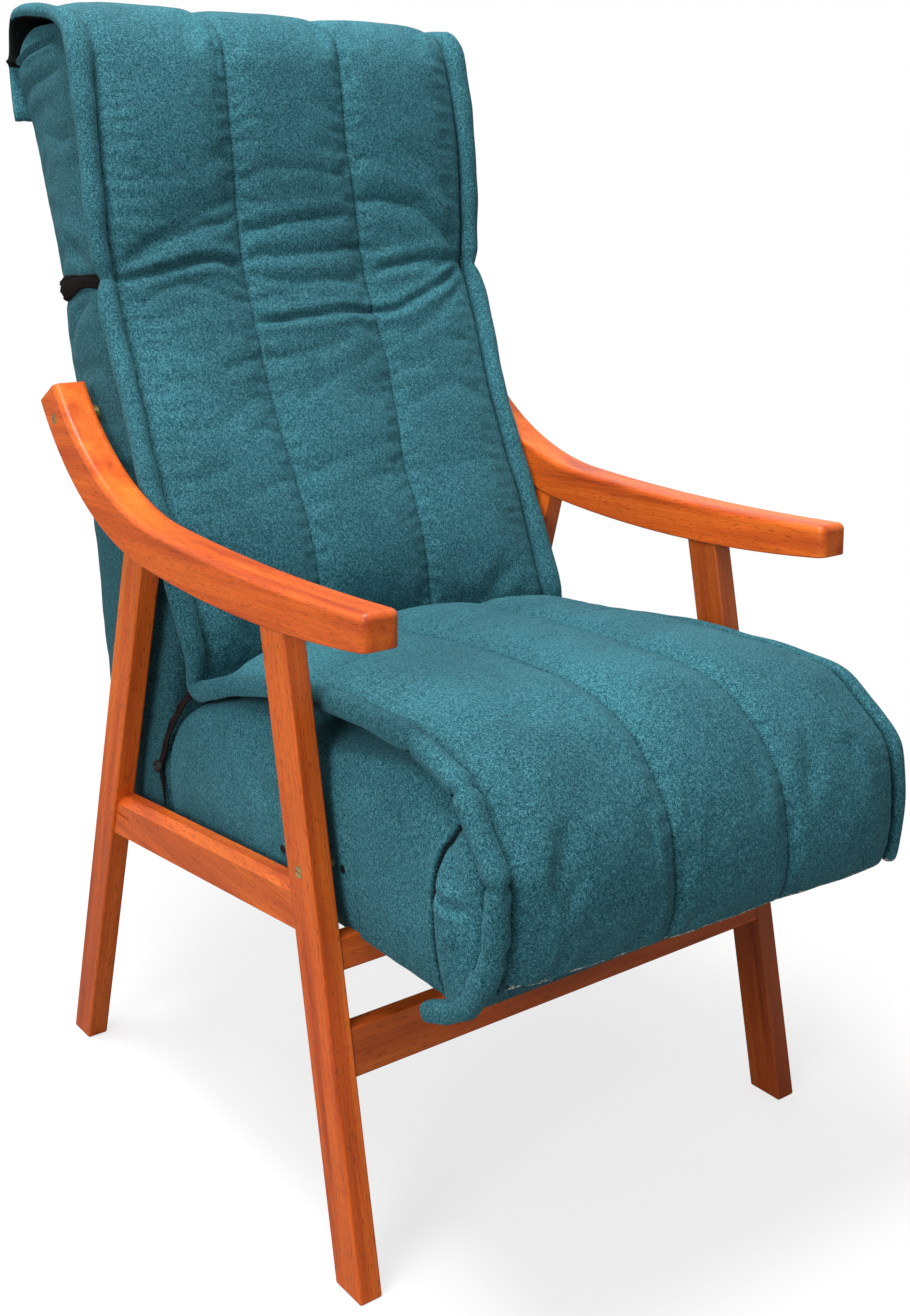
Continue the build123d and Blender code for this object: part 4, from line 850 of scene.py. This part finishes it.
def buildBlock(name, plan, cloth):
    line, _ = smoothRun(plan["outline"], plan["count"])
    bm = bmesh.new()
    half = plan["half"] * millimetre
    ring = [bm.verts.new((-half, (y + planShift) * millimetre, z * millimetre)) for y, z in line]
    cap = bm.faces.new(ring)
    grown = bmesh.ops.extrude_face_region(bm, geom=[cap])
    moved = [g for g in grown["geom"] if isinstance(g, bmesh.types.BMVert)]
    bmesh.ops.translate(bm, verts=moved, vec=(2 * half, 0, 0))
    bmesh.ops.recalc_face_normals(bm, faces=bm.faces)
    rims = [e for e in bm.edges if abs(e.verts[0].co.x - e.verts[1].co.x) < 1e-6]
    bmesh.ops.bevel(bm, geom=rims, offset=plan["rounding"] * millimetre, segments=4, profile=0.5,
                    affect="EDGES", material=-1)
    block = meshObject(name, bm)
    remesh = block.modifiers.new("remesh", "REMESH")
    remesh.mode = "VOXEL"
    remesh.voxel_size = plan["voxel"] * millimetre
    remesh.use_smooth_shade = True
    applyModifiers(block)
    for _ in range(plan["smooth"]):
        reshape(block, lambda bm: bmesh.ops.smooth_vert(bm, verts=bm.verts, factor=0.5, use_axis_x=True,
                                                        use_axis_y=True, use_axis_z=True))
    place = cornerList(block) / millimetre
    inward = edgeGap(place, line)
    gusset = gussetPlan
    free = (ease((np.abs(place[:, 0]) - plan["half"] + gusset["freeDepth"]) / gusset["freeDepthRun"])
            * ease((inward - gusset["freeRim"]) / gusset["freeRimRun"]))
    place = place * millimetre + swell(block, free, plan["shrink"], plan["cap"])
    block.data.vertices.foreach_set("co", place.reshape(-1))
    finer = block.modifiers.new("finer", "SUBSURF")
    finer.levels = finer.render_levels = 1
    applyModifiers(block)
    refineSeams(block, plan)
    sculptBlock(block, plan)
    block.data.materials.append(cloth)
    block.data.polygons.foreach_set("use_smooth", [True] * len(block.data.polygons))
    return block


def edgeGap(place, line):
    gap = np.full(len(place), 1e9)
    for y, z in line:
        gap = np.minimum(gap, np.hypot(place[:, 1] - planShift - y, place[:, 2] - z))
    return gap


def refineSeams(block, plan):
    place = cornerList(block) / millimetre
    close = np.zeros(len(place), bool)
    for points in plan["seams"] + [points for _, _, points in plan["folds"]]:
        close |= gapTo(points, place[:, 1] - planShift, place[:, 2])[0] < gussetPlan["fineReach"]
    close &= np.abs(place[:, 0]) > plan["half"] - gussetPlan["fineDepth"]
    reshape(block, lambda bm: bmesh.ops.subdivide_edges(
        bm, edges=[e for e in bm.edges if close[e.verts[0].index] and close[e.verts[1].index]], cuts=1,
        use_grid_fill=True))


def sculptBlock(block, plan):
    # seams, folds and swells of the side faces, top and front, as moves of the vertices
    gusset = gussetPlan
    place = cornerList(block) / millimetre
    y, z = place[:, 1] - planShift, place[:, 2]
    normal = np.empty(len(block.data.vertices) * 3)
    block.data.vertex_normals.foreach_get("vector", normal)
    normal = normal.reshape(-1, 3)
    sideways = ease((np.abs(place[:, 0]) - plan["half"] + 16) / 12)
    lift = np.zeros(len(place))
    seamGap = np.full(len(place), float(gusset["seamReach"]))
    for points in plan["seams"]:
        off, _, side, _ = gapTo(points, y, z)
        ahead = np.where(side > 0, off, -off)
        bulge = ease(ahead / gusset["bulgeRun"]) * bell(ahead - gusset["bulgeMiddle"], gusset["bulgeReach"])
        lift += sideways * (gusset["bulge"] * bulge
                            - gusset["grooveDepth"] * np.exp(-off / gusset["grooveWidth"])
                            + gusset["ridge"] * bell(ahead - gusset["ridgeAt"], gusset["ridgeReach"]))
        seamGap = np.minimum(seamGap, np.where(sideways > 0.3, off, gusset["seamReach"]))
    for depth, width, points in plan["folds"]:
        off, along, _, length = gapTo(points, y, z)
        fade = ease((along + 4) / gusset["foldRun"]) * ease((length - along + 4) / gusset["foldRun"])
        lift += depth * fade * sideways * (0.5 * bell(off - 2.2 * width, 1.2 * width) - np.exp(-off / width))
    if "nip" in plan:
        y1, z1, y2, z2 = plan["nip"]
        level = z1 + (y - y1) * (z2 - z1) / (y2 - y1)
        lift -= plan["nipDepth"] * bell(z - level, plan["nipReach"])
    if "ear" in plan:
        off = np.hypot(y - plan["ear"][0], z - plan["ear"][1])
        place[:, 0] += np.sign(place[:, 0]) * plan["earOut"] * sideways * bell(off, plan["earReach"])
    low = min(point[1] for point in plan["outline"])
    lip = plan["lip"] * ease((low + 30 - z) / 26) * ease((np.abs(place[:, 0]) - plan["half"] + 30) / 22)
    soft = np.array([softness(Vector(p), gusset["soft"]) for p in place])
    place += normal * (lift + soft)[:, None]
    middle = 1 - (place[:, 0] / plan["half"]) ** 2
    swollen = middle * bell(z - plan["swellAt"], gusset["swellReach"]) * ease(-2 * normal[:, 1])
    place[:, 1] -= plan["swell"] * swollen
    place[:, 2] += plan["crown"] * middle * ease((z - plan["crownFrom"]) / gusset["crownRun"]) - lip
    block.data.vertices.foreach_set("co", (place * millimetre).reshape(-1))
    setFlow(block, np.stack([z, np.full(len(z), clothReach), seamGap], 1) * millimetre)


rearPanelPlan = {"half": 226.0, "low": 322.0, "high": 1062.0, "bulge": 2.5, "rise": 3.2, "edge": 12.0,
                 "columns": 60, "rows": 96, "nipAt": 834.0, "nipDepth": 5.5, "nipReach": 13,
                 "softScale": 0.008, "soft": 1.4, "thick": 0.0025,
                 "face": [(312, 222), (450, 247), (610, 273), (697, 291), (795, 319), (850, 328), (890, 342),
                          (965, 372), (1030, 396), (1074, 409)]}  # height and depth of the block's rear face


def gridSheet(name, columns, rows, placeOf, thickness, material):
    # a thin sheet over a grid from -1 to 1 each way, laid where placeOf puts it, in plan millimetres
    bm = bmesh.new()
    bmesh.ops.create_grid(bm, x_segments=columns, y_segments=rows, size=1)
    for vert in bm.verts:
        x, y, z = placeOf(vert.co.x, vert.co.y)
        vert.co = Vector((x, y + planShift, z)) * millimetre
    bmesh.ops.recalc_face_normals(bm, faces=bm.faces)
    if sum(f.normal.y + f.normal.z for f in bm.faces) < 0:
        bmesh.ops.reverse_faces(bm, faces=bm.faces)
    bmesh.ops.solidify(bm, geom=bm.faces[:], thickness=thickness)
    sheet = meshObject(name, bm)
    sheet.data.materials.append(material)
    return sheet


def buildRearPanel(plan):
    def placeOf(across, up):
        x = across * plan["half"]
        z = plan["low"] + (plan["high"] - plan["low"]) * (up + 1) / 2
        toEdge = min(plan["half"] - abs(x), z - plan["low"], plan["high"] - z)
        roll = math.sqrt(1 - (1 - min(toEdge / plan["edge"], 1)) ** 2)
        lift = plan["rise"] * roll + plan["bulge"] * (1 - across ** 2) * (1 - up ** 2) * roll
        lift += (noise.noise(Vector((x, z, 0)) * plan["softScale"]) * plan["soft"] + 0.6) * roll
        lift -= plan["nipDepth"] * bell(z - plan["nipAt"], plan["nipReach"])
        return x, np.interp(z, *zip(*plan["face"])) + lift, z

    panel = gridSheet("rearPanel", plan["columns"], plan["rows"], placeOf, plan["thick"], backCloth)
    setFlow(panel, np.full((len(panel.data.vertices), 3), clothReach) * millimetre)
    return panel


quilt = buildQuilt(quiltPlan)
print("stage: quilt")
backBlock = buildBlock("backBlock", backPlan, backCloth)
seatBlock = buildBlock("seatBlock", seatPlan, seatCloth)
rearPanel = buildRearPanel(rearPanelPlan)
print("stage: blocks")


def sweep(name, centres, sides, normals, outline, sizes, material):
    # outline is carried along the centres, in millimetres, and grows with the sizes
    places = (centres[:, None] + sides[:, None] * (outline[None, :, :1] * sizes[:, None, :1])
              + normals[:, None] * (outline[None, :, 1:] * sizes[:, None, 1:]))
    places[..., 1] += planShift
    thing, _ = wrapGrid(name, places * millimetre, np.full(places.shape, clothReach * millimetre))
    thing.data.materials.append(material)
    return thing


def oval(count, wide, thick, square=0.7):
    turns = np.linspace(0, 2 * math.pi, count, endpoint=False)
    return np.stack([size * np.sign(way) * np.abs(way) ** square
                     for size, way in ((wide, np.cos(turns)), (thick, np.sin(turns)))], 1)


def frameOf(centres, out):
    # unit vectors across the line in the surface, and out of it
    run = np.gradient(centres, axis=0)
    run /= np.linalg.norm(run, axis=1)[:, None]
    out = out - run * np.sum(out * run, axis=1)[:, None]
    out /= np.linalg.norm(out, axis=1)[:, None]
    return np.cross(run, out), out


def surfaceTree(*things):
    trees = []
    for thing in things:
        bm = bmesh.new()
        bm.from_mesh(thing.data)
        trees.append(BVHTree.FromBMesh(bm))
        bm.free()
    return trees


def touch(trees, start, way):
    # the first place where a line meets one of the pieces, in plan millimetres
    origin = Vector((start[0], start[1] + planShift, start[2])) * millimetre
    hits = [tree.ray_cast(origin, Vector(way)) for tree in trees]
    reached = [distance for place, _, _, distance in hits if place is not None]
    if not reached:
        return None
    place = (origin + Vector(way) * min(reached)) / millimetre
    return (place.x, place.y - planShift, place.z)


# the gathered elastic round the back
backStrapPlan = {"width": 9.6, "thick": 1.6, "rows": 520, "gatherLength": 4.2, "gather": 0.42,
                 "knotAt": 88, "knotReach": 9, "knot": 1.8, "sideFrom": 220, "rearFrom": 318,
                 "stations": [(222, 853.5), (245, 853), (266, 851), (289, 846), (304, 842), (316, 836)],
                 "widths": [(0, 0.80), (40, 0.82), (62, 1.15), (82, 1.45), (98, 1.0), (116, 0.85)],
                 "crossing": [(-215, 838), (-150, 843), (-60, 847), (60, 848), (150, 846), (215, 842)]}


def buildBackStrap(plan):
    trees = surfaceTree(backBlock, rearPanel)
    near = [touch(trees, (-300, y, z), (1, 0, 0)) for y, z in plan["stations"]]
    far = [touch(trees, (300, y, z), (-1, 0, 0)) for y, z in plan["stations"]]
    across = [touch(trees, (x, 500, z), (0, -1, 0)) for x, z in plan["crossing"]]
    centres = evenLine(near + across + far[::-1], plan["rows"])
    x, y, _ = centres.T
    outward = np.stack([np.where(np.abs(x) > plan["sideFrom"], np.sign(x), x * 0.002),
                        np.where(y > plan["rearFrom"], 1.0, 0.0), 0 * x], 1)
    side, out = frameOf(centres, outward)
    length = lengthAlong(centres)
    gather = np.sin(length / plan["gatherLength"] * 2 * np.pi + 2 * np.sin(length / 17))
    knot = sum(bell(run - plan["knotAt"], plan["knotReach"]) for run in (length, length[-1] - length))
    fromEnd = np.minimum(length, length[-1] - length)
    wide = np.interp(fromEnd, *np.array(plan["widths"]).T) + 0.05 * np.sin(length / 9 + 1) + 0.03 * gather
    thick = 1 + plan["gather"] * gather + plan["knot"] * knot
    centres = centres + out * (plan["thick"] * thick * 0.9)[:, None]
    outline = oval(36, plan["width"], plan["thick"])
    outline[:, 1] *= 1 + 0.4 * np.cos(outline[:, 0] * 1.7)
    return sweep("backStrap", centres, side, out, outline, np.stack([wide, thick], 1), elastic)


# the elastics between the seat and the back, with their tails and buttons
creaseStrapPlan = {"band": [(30, 453), (48, 438), (64, 421), (82, 399), (95, 375), (105, 355)],
                   "tail": [(105, 352), (102, 338), (99, 324), (97, 311)], "width": 4.8, "thick": 1.2,
                   "tailRadius": 2.6, "rows": 60, "least": 237.5, "button": (107, 352), "buttonFoot": 238.5,
                   "radius": 6.6, "height": 6.0}


def buildCreaseStraps(plan):
    trees = surfaceTree(seatBlock, backBlock)
    made = []
    for sign, label in ((-1, "Left"), (1, "Right")):
        for part, outline in (("band", oval(14, plan["width"], plan["thick"])),
                              ("tail", oval(10, plan["tailRadius"], plan["tailRadius"]))):
            found = [touch(trees, (sign * 300, y, z), (-sign, 0, 0)) for y, z in plan[part]]
            points = [(sign * max(abs(place[0]) if place else 0, plan["least"]), y, z)
                      for place, (y, z) in zip(found, plan[part])]
            centres = evenLine(points, plan["rows"])
            side, out = frameOf(centres, np.tile((float(sign), 0, 0), (plan["rows"], 1)))
            centres = centres + out * plan["thick"]
            grow = 1 + 0.08 * np.sin(np.arange(plan["rows"]) / 2.3)
            if part == "tail":
                grow *= np.linspace(1, 0.35, plan["rows"])
            made.append(sweep("crease" + part.capitalize() + label, centres, side, out, outline,
                              np.stack([grow, grow], 1), elastic))
    return made


def buildButtons(plan):
    # half a section, spun about the button's axis
    r, h = plan["radius"], plan["height"]
    section = [(0.3, 0.62 * h), (0.42 * r, 0.60 * h), (0.62 * r, 0.66 * h), (0.74 * r, 0.90 * h),
               (0.86 * r, h), (0.97 * r, 0.86 * h), (r, 0.60 * h), (r, 0.25 * h), (0.90 * r, 0)]
    bm = bmesh.new()
    y, z = plan["button"]
    for sign in (-1, 1):
        foot = sign * plan["buttonFoot"]
        chain = [bm.verts.new((foot + sign * up, y + planShift + out, z)) for out, up in section]
        edges = [bm.edges.new(pair) for pair in zip(chain, chain[1:])]
        bmesh.ops.spin(bm, geom=chain + edges, cent=(foot, y + planShift, z), axis=(1, 0, 0),
                       angle=2 * math.pi, steps=32, use_merge=True)
    bmesh.ops.holes_fill(bm, edges=[e for e in bm.edges if e.is_boundary], sides=0)
    bmesh.ops.recalc_face_normals(bm, faces=bm.faces)
    bmesh.ops.scale(bm, vec=(millimetre, millimetre, millimetre), verts=bm.verts)
    thing = meshObject("strapButtons", bm)
    thing.data.materials.append(buttonFinish)
    return thing


# the loose end of the overlay's left roll, curled under the front corner
rollTailPlan = {"points": [(-234, -438, 342), (-235, -431, 324), (-236, -418, 307), (-236, -399, 295),
                           (-236, -378, 286), (-236, -360, 279)],
                "rows": 70, "radius": 10.0, "wave": 0.03}


def buildRollTail(plan):
    centres = evenLine(plan["points"], plan["rows"])
    side, out = frameOf(centres, np.tile((-1.0, 0, 0), (plan["rows"], 1)))
    share = np.linspace(0, 1, plan["rows"])
    size = np.sqrt(np.clip(1 - ((share - 0.86) / 0.14).clip(0, 1) ** 2, 0.002, 1))
    size *= (1 + plan["wave"] * np.sin(share * 21) - 0.07 * bell(share - 0.5, 0.05)) * (1 - 0.08 * share)
    return sweep("rollTail", centres, side, out, oval(28, plan["radius"], plan["radius"]),
                 np.stack([size, size], 1), quiltCloth)


# the stapled cover under the seat
dustCoverPlan = {"half": 224.0, "front": -388.0, "rear": 66.0, "level": 315.0, "sag": 3.5, "cells": 56,
                 "ripple": 0.5, "waves": 4, "thick": 0.0008}


def buildDustCover(plan):
    def placeOf(across, down):
        y = (plan["front"] + plan["rear"]) / 2 + down * (plan["rear"] - plan["front"]) / 2
        sag = plan["sag"] * (1 - across ** 2) * (1 - down ** 2)
        sag += plan["ripple"] * noise.noise(Vector((across * plan["waves"], down * plan["waves"], 1)))
        return across * plan["half"], y, plan["level"] - sag

    return gridSheet("dustCover", plan["cells"], plan["cells"], placeOf, plan["thick"], coverCloth)


buttonFinish = wovenMaterial("buttonFinish", (0.008, 0.008, 0.009, 1), (0.03, 0.028, 0.026, 1), 900,
                             0.35, 0.4)
coverCloth = wovenMaterial("coverCloth", (0.012, 0.012, 0.013, 1), (0.05, 0.05, 0.052, 1), 700, 0.9)
backStrap = buildBackStrap(backStrapPlan)
creaseStraps = buildCreaseStraps(creaseStrapPlan)
strapButtons = buildButtons(creaseStrapPlan)
rollTail = buildRollTail(rollTailPlan)
dustCover = buildDustCover(dustCoverPlan)
print("stage: straps and cover")

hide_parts("back_core")
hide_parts("seat_core")
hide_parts("back_rear_panel")
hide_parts("quilt_back", "quilt_seat")
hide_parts("lumbar_strap")
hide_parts("crease_straps")
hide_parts("strap_buttons")
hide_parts("seat_dust_cover")
for piece in (backBlock, rearPanel, backStrap):
    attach(piece, "backrest")
for piece in (seatBlock, rollTail, strapButtons, dustCover, *creaseStraps):
    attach(piece, "seat")
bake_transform(quilt)
